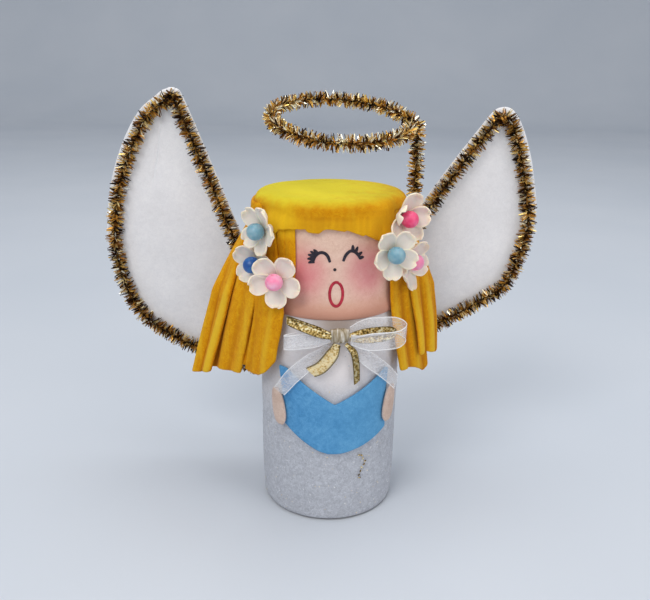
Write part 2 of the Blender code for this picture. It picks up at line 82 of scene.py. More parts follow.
class Signal:
    """A shader value in a Python expression: each operator adds one Math node."""

    def __init__(self, finish, socket):
        self.finish = finish
        self.socket = socket

    def math(self, operation, *values):
        return self.finish.node("ShaderNodeMath", {"operation": operation}, dict(enumerate(values)))

    def __abs__(self):
        return self.math("ABSOLUTE", self)


for sign, kind in (("add", "ADD"), ("sub", "SUBTRACT"), ("mul", "MULTIPLY")):
    setattr(Signal, f"__{sign}__", lambda one, other, kind=kind: one.math(kind, one, other))
    setattr(Signal, f"__r{sign}__", lambda one, other, kind=kind: one.math(kind, other, one))


class Finish:
    """A material: Principled shader fed by signals."""

    def __init__(self, name, **fixed):
        self.material = bpy.data.materials.new(name)
        self.material.use_nodes = True
        self.tree = self.material.node_tree
        self.shader = self.tree.nodes["Principled BSDF"]
        for socket, value in fixed.items():
            self.shader.inputs[socket.replace("_", " ")].default_value = value

    def node(self, kind, settings=None, inputs=None, output=0):
        made = self.tree.nodes.new(kind)
        for key, value in (settings or {}).items():
            if key == "stops":
                while len(made.color_ramp.elements) < len(value):
                    made.color_ramp.elements.new(1)
                for stop, (place, colour) in zip(made.color_ramp.elements, value):
                    stop.position = place
                    stop.color = colour
            else:
                setattr(made, key, value)
        for key, value in (inputs or {}).items():
            if isinstance(value, Signal):
                self.tree.links.new(value.socket, made.inputs[key])
            else:
                made.inputs[key].default_value = value
        return Signal(self, made.outputs[output])

    def feed(self, socket, signal):
        self.tree.links.new(signal.socket, self.shader.inputs[socket])

    def tint(self, share, *colour):
        """Lay a colour over the tone so far."""
        self.tone = self.mix(share, self.tone, hue(*colour))

    def coloured(self, signal=None):
        """Feed the base colour and hand over the finished material."""
        self.feed("Base Color", signal or self.tone)
        return self.material

    def place(self):
        return self.node("ShaderNodeTexCoord", output=3)

    def part(self, vector, axis):
        return self.node("ShaderNodeSeparateXYZ", None, {0: vector}, axis)

    def at(self, axis):
        return self.part(self.place(), axis)

    def noted(self, name):
        """A number that the mesh keeps at each of its points."""
        return self.node("ShaderNodeAttribute", {"attribute_name": name}, None, 2)

    def cells(self, scale):
        return self.node("ShaderNodeTexVoronoi", None, {"Vector": self.place(), "Scale": scale})

    def across(self, axis):
        """One direction of the piece's own UV map, 0 to 1."""
        return self.part(self.node("ShaderNodeTexCoord", output=2), axis)

    def grain(self, scale, detail=2, rough=0.5, swirl=0, stretch=None):
        where = self.place()
        if stretch:
            where = self.node("ShaderNodeMapping", None, {"Vector": where, "Scale": stretch})
        return self.node("ShaderNodeTexNoise", None, {
            "Vector": where, "Scale": scale, "Detail": detail, "Roughness": rough, "Distortion": swirl})

    def ramp(self, signal, *stops):
        return self.node("ShaderNodeValToRGB", {"stops": stops}, {0: signal})

    def step(self, signal, low, high):
        return self.node("ShaderNodeMapRange", {"interpolation_type": "SMOOTHSTEP"},
                         {0: signal, 1: low, 2: high})

    def mix(self, share, a, b):
        return self.node("ShaderNodeMix", {"data_type": "RGBA"}, {0: share, 6: a, 7: b}, 2)

    def near(self, point, inner, outer):
        """1 close to a point of the row frame, fading to 0 at the outer distance."""
        gap = self.node("ShaderNodeVectorMath", {"operation": "DISTANCE"}, {0: self.place(), 1: point}, 1)
        return self.step(gap, outer, inner)

    def bump(self, height, distance, strength):
        self.feed("Normal", self.node("ShaderNodeBump", None, {
            "Height": height, "Distance": distance, "Strength": strength}))


def hue(red, green, blue):
    """Shader colour from the 0-255 values that a screen shows."""
    def straight(value):
        share = value / 255
        return share / 12.92 if share <= 0.04045 else ((share + 0.055) / 1.055) ** 2.4
    return (straight(red), straight(green), straight(blue), 1)


def felt(name, dark, mid, light, depth=0.45, sheen=0.06, clouds=0.26, fine=2300):
    """Matted fibres: fine strands, small tufts and broad clouds of tone."""
    f = Finish(name, Roughness=0.95, Sheen_Weight=sheen, Sheen_Roughness=0.5, Specular_IOR_Level=0.1)
    fibre = f.grain(fine, 4, 0.65, 1.4)
    tuft = f.grain(fine / 4, 3, 0.6, 0.8)
    cloud = f.grain(95, 2)
    tone = fibre * (0.66 - clouds) + tuft * 0.34 + cloud * clouds
    f.tone = f.ramp(tone, (0.38, dark), (0.5, mid), (0.62, light))
    f.bump(fibre * 0.55 + tuft * 0.45, 0.0004, depth)
    return f


def gown_felt():
    """Pale felt with bright flecks; painted light makes the chest whiter and lays a pool of light below
    the bow, and painted shade browns the fold under the chin.
    """
    f = felt("gown felt", hue(162, 164, 173), hue(184, 187, 195), hue(206, 209, 217), 0.7,
             clouds=0.05, fine=2700)
    # Painted light: the upper gown is whiter than the lower.
    f.tint(f.step(f.at(2), 0.03, 0.058) * 0.75, 224, 218, 218)
    # Painted light: a pool of light on the gown below the bow's knot.
    f.tint(f.near(around(BOW_ANGLE, GOWN_R, 0.058), 0.002, 0.014) * 0.65, 255, 246, 244)
    # Painted shadow: brown shade in the fold under the chin, above the bow.
    f.tint(f.near(around(BOW_ANGLE, GOWN_R, GOWN_TOP), 0.002, 0.011) * 0.7, 156, 132, 114)
    f.tint(f.step(f.cells(900), 0.15, 0.08) * 0.3, 240, 240, 246)
    return f.coloured()


def skin_felt():
    """Smooth skin felt with powder on the cheeks; painted shade makes the chin warmer and darker towards
    the face's lower edge.
    """
    f = felt("skin felt", hue(219, 180, 160), hue(231, 197, 178), hue(238, 208, 190), 0.15)
    left = f.near(around(-24, FACE_R, 0.0848), 0.0005, 0.0125)
    right = f.near(around(31.5, FACE_R, 0.0856), 0.0005, 0.0125)
    # Painted shade: the chin turns warmer and darker towards the face's lower edge.
    f.tint(f.step(f.at(2), 0.08, 0.0722) * 0.85, 202, 142, 120)
    f.tint((left * 0.92 + right * 0.8) * (0.62 + f.grain(230, 3) * 0.5), 226, 122, 136)
    return f.coloured()


def hair_felt():
    """Golden yellow felt with painted light on the crown's top, on the fringe's cut ends and at its two
    corners, painted shade under the cap's edge, and painted light and shade along the folds.
    """
    f = felt("hair felt", hue(204, 128, 8), hue(219, 150, 12), hue(232, 174, 24), 0.6, 0.03, 0.16)
    streak = f.step(f.grain(330, 2, 0.5, 0.3, (1, 1, 0.1)), 0.52, 0.7)
    fold = f.noted("fold")
    height = f.at(2)
    front = f.step(f.at(1), AXIS.y - 0.008, AXIS.y - 0.014)
    brow_shade = f.step(height, CAP_TOP - 0.0056, CAP_TOP - 0.0036)
    tips = f.step(height, CAP_TOP - 0.004, CAP_TOP - 0.0068)
    ends = f.step(height, CAP_TOP - 0.0135, CAP_TOP - 0.011)
    level = height + (AXIS.x - f.at(0)) * 0.04 + f.grain(260, 3, 0.6, 0.4) * 0.0024
    f.tint(streak * 0.4, 232, 186, 40)
    # Painted light on raised folds and painted shade in sunken ones, read from the fold note.
    f.tint(f.step(fold, 0.05, 1) * 0.75, 236, 196, 52)
    f.tint(f.step(fold, 0.05, -1) * 0.85, 182, 108, 8)
    # Painted shade: the brow under the cap's edge darkens to orange.
    f.tint(brow_shade * front * 0.32, 190, 122, 8)
    # Painted light: the fringe's cut ends at the front are paler.
    f.tint(tips * ends * front * 0.38, 246, 194, 34)
    # Painted light: the fringe's two corners are paler.
    f.tint(f.near(around(43, FACE_R, CAP_TOP - 0.007), 0.003, 0.01) * 0.38, 250, 192, 34)
    f.tint(f.near(around(-43, FACE_R, CAP_TOP - 0.006), 0.003, 0.0095) * 0.5, 238, 206, 40)
    # Painted light: the top of the crown turns lemon yellow, reaching lower on the left towards the key
    # lamp.
    f.tint(f.step(level, CAP_TOP - 0.002, CAP_TOP + 0.0015) * 0.92, 228, 214, 54)
    return f.coloured()


def book_felt():
    f = felt("book felt", hue(66, 130, 182), hue(86, 150, 200), hue(108, 168, 212), 0.4)
    # Painted light: the book is lighter towards the right.
    f.tint(f.step(f.at(0), AXIS.x - 0.016, AXIS.x + 0.018) * 0.35, 104, 168, 206)
    return f.coloured()


def ink(name, colour):
    f = Finish(name, Roughness=0.6)
    wear = f.grain(900, 3)
    pale = tuple(min(1, c * 1.5 + 0.015) for c in colour[:3]) + (1,)
    return f.coloured(f.ramp(wear, (0.4, colour), (0.75, pale)))


def sheer_ribbon():
    """Open-weave ribbon: clear middle, fine threads and bright woven edges."""
    f = Finish("sheer ribbon", Roughness=0.45, Sheen_Weight=0.3)
    edge = f.step(abs(f.across(1) - 0.5), 0.42, 0.47)
    thread = f.grain(700, 2, 0.5, 0, (1, 1, 6))
    crease = f.grain(170, 3, 0.6, 0.6)
    veil = 0.17 + f.step(thread, 0.42, 0.68) * 0.14 + f.step(crease, 0.45, 0.7) * 0.18
    f.feed("Alpha", (1 - edge) * veil + edge * (0.58 + thread * 0.3))
    f.bump(thread + crease, 0.0003, 0.4)
    return f.coloured(f.mix(edge, hue(240, 240, 243), hue(252, 252, 252)))


def knot_ribbon():
    f = Finish("knotted ribbon", Roughness=0.75, Specular_IOR_Level=0.3)
    crease = f.grain(620, 3, 0.6, 0.4, (1.6, 1, 0.25))
    f.bump(crease, 0.0005, 0.8)
    # Painted shade: the creases darken to brown; the pale end is the ribbon's own colour.
    return f.coloured(f.ramp(crease, (0.34, hue(108, 92, 58)), (0.45, hue(158, 143, 116)),
                             (0.57, hue(188, 176, 156)), (0.7, hue(230, 228, 222))))


def gold_ribbon():
    """Metal-thread ribbon: hammered weave with dark edges, bright where the left tail faces the light."""
    f = Finish("gold ribbon", Metallic=0.65)
    edge = f.step(abs(f.across(1) - 0.5), 0.33, 0.45)
    dent = f.cells(1500)
    sheen = f.grain(900, 2)
    light = f.near(around(-5, GOWN_R, 0.0575), 0.0055, 0.0085)
    shade = f.near(around(18.5, GOWN_R, 0.0555), 0.0045, 0.0075)
    f.tone = f.ramp(sheen + dent * 0.6 + light * 0.16, (0.52, hue(70, 56, 20)), (0.7, hue(144, 116, 54)),
                    (0.84, hue(222, 186, 108)), (1, hue(255, 246, 206)))
    f.tint(light * 0.45, 240, 204, 140)
    f.tint(shade * 0.55, 96, 84, 44)
    f.tint(edge * 0.85, 74, 62, 22)
    f.feed("Roughness", 0.28 + sheen * 0.3)
    f.bump(dent, 0.0003, 0.8)
    return f.coloured()


def petal_cloth():
    """Pressed white petals with painted shade darkening the throat and painted highlight on their cream
    rims.
    """
    f = Finish("petal cloth", Roughness=0.55, Subsurface_Weight=0.15, Subsurface_Scale=0.002)
    side = abs(f.across(0) - 0.5) * 2
    out = f.across(1)
    rim_highlight = f.step(side.math("MAXIMUM", side, out), 0.8, 0.97)
    throat_shade = f.step(out, 0.45, 0.05)
    vein = f.grain(1100, 2, 0.5, 0.4)
    # Painted shade: the throat deep in the cup darkens to beige.
    f.tone = f.mix(throat_shade * 0.8, hue(236, 226, 214), hue(200, 184, 158))
    f.tint(vein * 0.3, 220, 206, 192)
    # Painted highlight: the petals' rims are paler cream.
    f.tint(rim_highlight * 0.8, 255, 238, 212)
    f.bump(vein, 0.0002, 0.35)
    return f.coloured()


def bead(name, colour, pale):
    """Satin plastic bead with a milky bloom."""
    f = Finish(name, Roughness=0.42, Subsurface_Weight=0.2, Subsurface_Scale=0.002, Coat_Roughness=0.3)
    bloom = f.grain(330, 2)
    f.feed("Coat Weight", 0.15 + bloom * 0.2)
    return f.coloured(f.ramp(bloom, (0.4, colour), (0.66, pale)))


def tinsel():
    """Metal film strips whose tone runs from near-black bronze to bright gold; the dark and pale ends are
    partly the strips' own colours and partly painted reflections and glints.
    """
    f = Finish("gold tinsel", Metallic=0.7)
    tone = f.noted("tone")
    f.feed("Roughness", 0.42 - tone * 0.18)
    return f.coloured(f.ramp(
        tone, (0, hue(34, 18, 8)), (0.2, hue(92, 56, 22)), (0.38, hue(168, 114, 44)),
        (0.58, hue(232, 180, 82)), (0.76, hue(255, 224, 140)), (1, hue(255, 252, 234))))


def stem_wire():
    f = Finish("stem wire", Metallic=0.9)
    pit = f.grain(1800, 2)
    f.feed("Roughness", 0.4 + pit * 0.3)
    return f.coloured(f.ramp(pit, (0.4, hue(34, 22, 12)), (0.65, hue(92, 66, 34))))


def glitter():
    f = Finish("glitter", Metallic=0.2, Roughness=0.2)
    tone = f.noted("tone")
    return f.coloured(f.ramp(tone, (0, hue(206, 206, 220)), (0.35, hue(238, 238, 246)),
                             (0.7, hue(255, 255, 255)), (0.95, hue(244, 226, 190))))


def cardboard():
    """Grey-brown board with the slanted seam of its spiral winding."""
    f = Finish("roll board", Roughness=0.9)
    fleck = f.grain(1300, 4, 0.7)
    slant = f.node("ShaderNodeMapping", None, {"Vector": f.place(), "Rotation": (0.6, 0, 0)})
    ply = f.node("ShaderNodeTexWave", {"wave_type": "BANDS", "bands_direction": "Z"},
                 {"Vector": slant, "Scale": 9, "Distortion": 0.4})
    f.tone = f.ramp(fleck, (0.35, hue(146, 120, 92)), (0.65, hue(190, 166, 136)))
    f.tint(f.step(ply, 0.93, 0.99) * 0.5, 120, 96, 72)
    f.bump(fleck, 0.0002, 0.4)
    return f.coloured()


# Modelling helpers

def around(azimuth, radius, height):
    """Point about the roll's axis: azimuth 0 is the front, positive angles turn to +X."""
    angle = radians(azimuth)
    return Vector((AXIS.x + radius * sin(angle), AXIS.y - radius * cos(angle), height))


def outward(azimuth):
    """Level direction away from the roll's axis."""
    return (around(azimuth, 1, 0) - around(0, 0, 0)).normalized()


def mix(a, b, share):
    return a + (b - a) * share


def ease(low, high, value):
    share = min(1, max(0, (value - low) / (high - low)))
    return share * share * (3 - 2 * share)


def hump(value, middle, spread):
    return exp(-((value - middle) / spread) ** 2)


def reading(pairs, value):
    """Straight-line reading of (position, value) pairs, held at both ends."""
    if value <= pairs[0][0]:
        return pairs[0][1]
    for (x0, y0), (x1, y1) in zip(pairs, pairs[1:]):
        if value <= x1:
            return mix(y0, y1, (value - x0) / (x1 - x0))
    return pairs[-1][1]


def smooth_path(points, per_span):
    """Points along a smooth curve through the given points."""
    padded = [points[0] * 2 - points[1]] + points + [points[-1] * 2 - points[-2]]
    path = []
    for p0, p1, p2, p3 in zip(padded, padded[1:], padded[2:], padded[3:]):
        for step in range(per_span):
            t = step / per_span
            path.append(0.5 * (2 * p1 + (p2 - p0) * t + (2 * p0 - 5 * p1 + 4 * p2 - p3) * t ** 2
                               + (3 * p1 - p0 - 3 * p2 + p3) * t ** 3))
    path.append(points[-1])
    return path


def along(path, share):
    """Point at a share of a path's number of steps."""
    spot = share * (len(path) - 1)
    low = min(int(spot), len(path) - 2)
    return mix(path[low], path[low + 1], spot - low)


def runs(path):
    """Each point of a path with the direction that the path takes there."""
    return [(point, (after - before).normalized())
            for before, point, after in zip(path[:1] + path, path, path[1:] + path[-1:])]


def spoke(run, angle):
    """Direction square to a run, at an angle round it."""
    first = run.orthogonal().normalized()
    return first * cos(angle) + run.cross(first) * sin(angle)


def added(primitive, **settings):
    """A new primitive, alone in the selection."""
    bpy.ops.object.select_all(action="DESELECT")
    primitive(**settings)
    return bpy.context.object


def only(piece):
    bpy.ops.object.select_all(action="DESELECT")
    piece.select_set(True)
    bpy.context.view_layer.objects.active = piece


def apply(piece, kind, **settings):
    """Add one modifier and apply it."""
    only(piece)
    modifier = piece.modifiers.new(kind.lower(), kind)
    for key, value in settings.items():
        setattr(modifier, key, value)
    bpy.ops.object.modifier_apply(modifier=modifier.name)


def rounded(piece):
    apply(piece, "SUBSURF", levels=1, render_levels=1)
    only(piece)
    bpy.ops.object.shade_smooth()


def cloth(name, columns, rows, lay, thick, side=1, close=False, fold_light_shade=None):
    """Sheet of felt or ribbon: a grid laid where lay(u, v) says, then given its thickness.

    An optional function of (u, v) notes where a fold stands out (above 0) or sinks in (below 0); the
    finish paints light on the raised folds and shade in the sunken ones.
    """
    piece = added(bpy.ops.mesh.primitive_grid_add, x_subdivisions=columns, y_subdivisions=rows, size=1)
    piece.name = name
    shares = [(vertex.co.x + 0.5, vertex.co.y + 0.5) for vertex in piece.data.vertices]
    for vertex, (u, v) in zip(piece.data.vertices, shares):
        vertex.co = lay(u, v)
    if fold_light_shade:
        fold_shading_notes = piece.data.attributes.new("fold", "FLOAT", "POINT")
        fold_shading_notes.data.foreach_set("value", [fold_light_shade(u, v) for u, v in shares])
    if close:
        apply(piece, "WELD", merge_threshold=0.00005)
    apply(piece, "SOLIDIFY", thickness=thick, offset=side)
    rounded(piece)
    return piece


def joined(name, pieces):
    bpy.ops.object.select_all(action="DESELECT")
    for piece in pieces:
        piece.select_set(True)
    bpy.context.view_layer.objects.active = pieces[0]
    if len(pieces) > 1:
        bpy.ops.object.join()
    pieces[0].name = name
    return pieces[0]


def dress(piece, material, slot, nodes, body=None):
    """Give a piece its finish, the CAD nodes it stands for, and the body it rides on."""
    piece.data.materials.clear()
    piece.data.materials.append(material)
    if nodes:
        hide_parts(*nodes)
    if body:
        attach(piece, body)


def scatter(name, pattern, places, tones):
    """One mesh of many copies of a small pattern, each with a tone of its own."""
    shape = np.array([vertex.co for vertex in pattern.data.vertices])
    faces = [list(face.vertices) for face in pattern.data.polygons]
    count = len(shape)
    points = []
    polygons = []
    for number, place in enumerate(places):
        turn = np.array(place)
        points.append(shape @ turn[:3, :3].T + turn[:3, 3])
        polygons.extend([corner + number * count for corner in face] for face in faces)
    mesh = bpy.data.meshes.new(name)
    mesh.from_pydata(np.concatenate(points).tolist(), [], polygons)
    mesh.attributes.new("tone", "FLOAT", "POINT").data.foreach_set("value", np.repeat(tones, count))
    piece = bpy.data.objects.new(name, mesh)
    bpy.context.scene.collection.objects.link(piece)
    bpy.data.objects.remove(pattern)
    return piece


def basis(x_way, y_way, z_way, place):
    """Matrix whose columns are three directions and a place."""
    return Matrix((x_way, y_way, z_way)).transposed().to_4x4() + Matrix(
        ((0, 0, 0, place.x), (0, 0, 0, place.y), (0, 0, 0, place.z), (0, 0, 0, 0)))


# Gown, face and drawn features

GOWN_FELT = 0.001


def gown_radius(azimuth, height):
    """Outer radius of the gown, with its soft lumps and the fold under the chin."""
    full = reading(((GOWN_HEM, -0.0007), (GOWN_HEM + 0.011, -0.0002), (GOWN_HEM + 0.023, 0),
                    (GOWN_TOP - 0.012, 0), (GOWN_TOP - 0.005, -0.0005), (GOWN_TOP, -0.0011)), height)
    angle = radians(azimuth)
    lump = noise.noise(Vector((sin(angle) * 2.2, cos(angle) * 2.2, height * 55)))
    tuck = hump(height, GOWN_TOP - 0.0042, 0.0011) - 0.8 * hump(height, GOWN_TOP - 0.002, 0.0009)
    slant = 0.5 + 0.5 * noise.noise(Vector((sin(angle) * 3, cos(angle) * 3, 7)))
    return GOWN_R + full + lump * 0.00022 + tuck * slant * 0.00055


def gown():
    def lay(u, v):
        azimuth = mix(-178, 186, u)
        height = mix(GOWN_HEM, GOWN_TOP + 0.0004, v)
        over = ease(174, 180, azimuth) * (GOWN_FELT + 0.0001)
        hem = 0.00015 * noise.noise(Vector((azimuth * 0.06, 2, 0))) * (1 - v)
        return around(azimuth, gown_radius(azimuth, height) - GOWN_FELT + over, height + hem + 0.00005)

    piece = cloth("gown", 128, 34, lay, GOWN_FELT)
    dress(piece, gown_felt(), "white_felt", ["gown_wrap"], "figure")


GLITTER_FLAKES = 900
FLAKE_RADIUS = 0.0002
FLAKE_FILM = 0.00004


def gown_glitter():
    """Loose glitter flakes pressed into the gown's nap."""
    draw = random.Random(11)
    flake = added(bpy.ops.mesh.primitive_cylinder_add, vertices=6, radius=FLAKE_RADIUS, depth=FLAKE_FILM)
    places = []
    tones = []
    for _ in range(GLITTER_FLAKES):
        azimuth = draw.uniform(-176, 172)
        height = mix(GOWN_HEM + 0.001, GOWN_TOP - 0.004, draw.random())
        lean = Vector([draw.uniform(-0.5, 0.5) for _ in range(3)])
        z_way = (outward(azimuth) + lean).normalized()
        x_way = z_way.orthogonal().normalized()
        size = draw.uniform(0.5, 1.25)
        spot = around(azimuth, gown_radius(azimuth, height) + 0.00002, height)
        places.append(basis(x_way * size, z_way.cross(x_way) * size, z_way, spot))
        tones.append(draw.random())
    piece = scatter("gown_glitter", flake, places, tones)
    dress(piece, glitter(), "white_felt", [], "figure")


def gold_fleck(material):
    """Bits of gold thread caught on the gown's front."""
    # azimuth, height and turn of each bit
    bits = ((25.4, 0.0243, 20), (27.8, 0.0239, -35), (28.9, 0.0226, 80), (31.2, 0.0215, 15),
            (30.2, 0.0204, 60), (28.3, 0.0193, -50), (27.1, 0.0181, 70), (26, 0.0168, 35),
            (26.7, 0.0157, -10))
    bit_length, bit_width, bit_film = 0.00095, 0.00048, 0.00012
    flakes = []
    for azimuth, height, turn in bits:
        lean = Matrix.Rotation(radians(turn), 2)

        def lay(u, v):
            step = lean @ Vector(((u - 0.5) * bit_length, (v - 0.5) * bit_width))
            here = azimuth + degrees(step.x / GOWN_R)
            lift = 0.00022 + 0.00016 * sin(u * pi)
            return around(here, gown_radius(here, height + step.y) + lift, height + step.y)

        flakes.append(cloth("flake", 4, 3, lay, bit_film, 0))
    dress(joined("gold_fleck", flakes), material, "gold_ribbon", [], "figure")


FACE_LOW = GOWN_TOP - 0.0012


def face_radius(height):
    """Outer radius of the face: a little proud along the chin, tucked in at its lower edge."""
    chin = 0.00105 * hump(height, FACE_LOW + 0.0014, 0.003)
    return FACE_R + chin - 0.00035 * hump(height, FACE_LOW, 0.0005)


def face():
    thick = 0.0008

    def lay(u, v):
        azimuth = mix(-178, 184, u)
        height = mix(FACE_LOW, TUBE_TOP - 0.0004, v ** 1.4)
        over = ease(174, 179, azimuth) * (thick + 0.0001)
        return around(azimuth, face_radius(height) - thick + over, height)

    piece = cloth("face", 96, 22, lay, thick)
    dress(piece, skin_felt(), "skin_felt", ["face_band"], "figure")


INK = 0.00008


def pen(name, strokes):
    """Drawn lines on the face: each stroke is a list of (azimuth, height, width)."""
    lines = []
    for stroke in strokes:
        path = smooth_path([Vector(point) for point in stroke], 6)

        def lay(u, v):
            here = along(path, u)
            ahead = along(path, min(1, u + 0.03)) - along(path, max(0, u - 0.03))
            run = Vector((radians(ahead.x) * FACE_R, ahead.y)).normalized()
            offset = Vector((-run.y, run.x)) * ((v - 0.5) * here.z)
            azimuth = here.x + degrees(offset.x / FACE_R)
            height = here.y + offset.y
            return around(azimuth, face_radius(height) + INK / 2, height)

        lines.append(cloth("stroke", 6 * (len(stroke) - 1) + 2, 2, lay, INK))
    return joined(name, lines)


def drawn_face():
    lid = 0.001
    lash = 0.00105
    thin = 0.00045
    left_eye = [(-14.8, 0.0889, lid), (-13, 0.0906, lid), (-9.6, 0.0917, lid), (-5.8, 0.0917, lid),
                (-3, 0.0907, lid), (-1.2, 0.0889, lid * 0.8)]
    right_eye = [(9, 0.0892, lid * 0.8), (10.9, 0.091, lid), (14.2, 0.0922, lid), (17.6, 0.0921, lid),
                 (20.8, 0.0911, lid), (23.2, 0.0896, lid * 0.8)]
    lashes = [((-13.4, 0.089), (-18.6, 0.0884)), ((-13.8, 0.0897), (-19.4, 0.0896)),
              ((-13.6, 0.0904), (-19, 0.0909)), ((-12.6, 0.0909), (-17, 0.092)),
              ((-11, 0.0914), (-14.4, 0.0926)),
              ((16.6, 0.0922), (16.4, 0.0941)), ((18.8, 0.0917), (20.6, 0.0935)),
              ((21.2, 0.0908), (24.6, 0.0917)), ((22.6, 0.0899), (26.2, 0.0901))]
    strokes = [left_eye, right_eye]
    for (a0, z0), (a1, z1) in lashes:
        middle = (mix(a0, a1, 0.5), mix(z0, z1, 0.5) + 0.0001, lash)
        strokes.append([(a0, z0, lash), middle, (a1, z1, thin)])
    dot = [(1.35, 0.0867, 0.0005), (2.6, 0.0867, 0.00105), (3.85, 0.0867, 0.0005)]
    oval = []
    for turn in range(17):
        angle = 2 * pi * turn / 16 + 1.2
        oval.append((4 + 5.2 * cos(angle), 0.0791 + 0.0037 * sin(angle), 0.00092))
    for name, lines, finish in (("eye_lines", strokes, ink("eye ink", hue(24, 16, 34))),
                                ("nose_dot", [dot], ink("nose ink", hue(30, 20, 26))),
                                ("mouth_line", [oval], ink("mouth ink", hue(166, 22, 48)))):
        dress(pen(name, lines), finish, "skin_felt", [], "figure")


# Hair

FRINGE = (
    # azimuth, lower edge of the crown's skirt
    (-59.5, HAIR_TOP - 0.0009), (-58.5, 0.0958), (-52, 0.0957), (-43.5, 0.0966), (-42.6, 0.0975),
    (-33, 0.0983), (-21, 0.0985), (-19.5, 0.099), (-18.5, 0.0978), (-9.5, 0.0976), (-6.5, 0.0986),
    (-4, 0.099), (0.8, 0.099), (9.5, 0.0982), (10.5, 0.0988), (24, 0.0966), (25, 0.0971),
    (35, 0.095), (40, 0.0944), (41, 0.0936), (52, 0.0922), (53, HAIR_TOP - 0.0009),
)
PLEATS = (
    # middle azimuth, half width and outward push of the fringe's soft folds
    (-50, 7.5, 0.0007), (-37, 5, 0.0004), (-26, 3.5, 0.0002), (-13, 5, 0.0003),
    (3, 4.5, 0.0004), (17, 4, 0.0002), (30, 4.5, 0.0003), (46.5, 5, 0.0006),
)


def side_push(azimuth, left, right, begin, fade):
    """Extra radius over the ears, which fades out towards the face and the back."""
    off = abs((azimuth + 180) % 360 - 180)
    far = left if (azimuth + 180) % 360 < 180 else right
    return far * ease(begin, 78, off) * ease(150, fade, off)


def side_swell(azimuth):
    """Extra radius where the side hair leaves the crown's edge."""
    return side_push(azimuth, 0.0014, 0.0006, 52, 118)


def side_flare(azimuth):
    """How far the crown's lower edge stands out at the sides, more on the fuller left."""
    return side_push(azimuth, 0.0011, 0.0003, 61, 112)


def ring_noise(azimuth, turns, height, seed):
    """Noise round the axis that meets itself at the back."""
    angle = radians(azimuth)
    return noise.noise(Vector((sin(angle) * turns, cos(angle) * turns + seed, height)))


def crown(material):
    """Round felt top whose edge turns down into the cut fringe."""
    shoulder = 0.0022
    skirt, disc = 0.44, 0.62
    top = CAP_TOP - FELT - 0.0006
    radius = HAIR_IN

    def lay(u, v):
        azimuth = mix(-180, 180, u)
        if v > disc:
            inward = (v - disc) / (1 - disc)
            reach = (radius - shoulder) * (1 - inward) + 0.00002
            lift = 0.0007 * (1 - (reach / radius) ** 2)
            wave = 0.00016 * ring_noise(azimuth, reach * 220, 0, 3)
            swell = side_swell(azimuth) * (reach / radius) ** 4
            return around(azimuth, reach + swell, top + lift + wave)
        if v > skirt:
            turn = radians(90 * (v - skirt) / (disc - skirt))
            push = 0.00016 * ring_noise(azimuth, 5, 1, 5) + side_swell(azimuth)
            return around(azimuth, radius - shoulder + shoulder * cos(turn) + push,
                          top - shoulder + shoulder * sin(turn))
        drop = 1 - v / skirt
        height = mix(top - shoulder, reading(FRINGE, azimuth), drop)
        push = sum(far * hump(azimuth, middle, half) for middle, half, far in PLEATS)
        under = 0.0009 * ease(-58, -50, azimuth) * ease(-27, -30, azimuth)
        under += 0.0007 * ease(40, 43, azimuth) * ease(54, 51, azimuth)
        fine = 0.0003 * strands(azimuth, height)
        grow = ease(0, 0.9, drop)
        swell = side_swell(azimuth) + side_flare(azimuth) * drop
        return around(azimuth, radius + swell + (push + under + fine) * grow, height)

    def strands(azimuth, height):
        sizes = ((0.5, 7, 16, 9), (0.5, 17, 9, 4), (0.3, 27, 6, 2))
        return sum(share * ring_noise(azimuth, turns, height * rise, seed)
                   for share, turns, rise, seed in sizes)

    # Painted light and shade along the fringe: mostly shaded, lighter on raised strands, pleats and the
    # cut edge.
    def fold_light_shade(u, v):
        drop = max(0, 1 - v / skirt)
        azimuth = mix(-180, 180, u)
        height = mix(top - shoulder, reading(FRINGE, azimuth), drop)
        pleat = sum(hump(azimuth, middle, half * 0.7) for middle, half, _ in PLEATS) - 0.45
        depth = 1.1 * strands(azimuth, height) + 0.2 * pleat - 0.8 + 0.4 * ease(0.82, 1, drop)
        # Painted light on the fringe's left side.
        depth += 0.6 * hump(azimuth, -38, 15)
        return max(-1, min(1, depth)) * ease(0, 0.35, drop)

    cap = cloth("hair_crown", 288, 30, lay, FELT, close=True, fold_light_shade=fold_light_shade)
    dress(cap, material, "yellow_felt", ["hair_cap"], "figure")


def temple_strands(material):
    """Longer strands that hang beside the face from under the fringe."""
    top, thick = 0.101, 0.0009
    strands = []
    for start, end, low0, low1, bow in (
            (-45.5, -38.2, 0.0782, 0.0776, 0.0003), (-38.6, -29.2, 0.079, 0.0806, 0),
            (44.2, 51, 0.085, 0.0838, 0.0002)):
        def lay(u, v):
            azimuth = mix(start, end, u)
            height = mix(mix(low0, low1, u), top, v)
            sway = 0.9 * sin(v * 5 + start) * (1 - v)
            fold = 0.00022 * cos((u - 0.5) * pi) + bow
            return around(azimuth + sway, FACE_R + 0.00022 + fold, height)

        strands.append(cloth("strand", 8, 18, lay, thick))
    piece = joined("temple_strands", strands)
    dress(piece, material, "yellow_felt", ["hair_cap"], "figure")


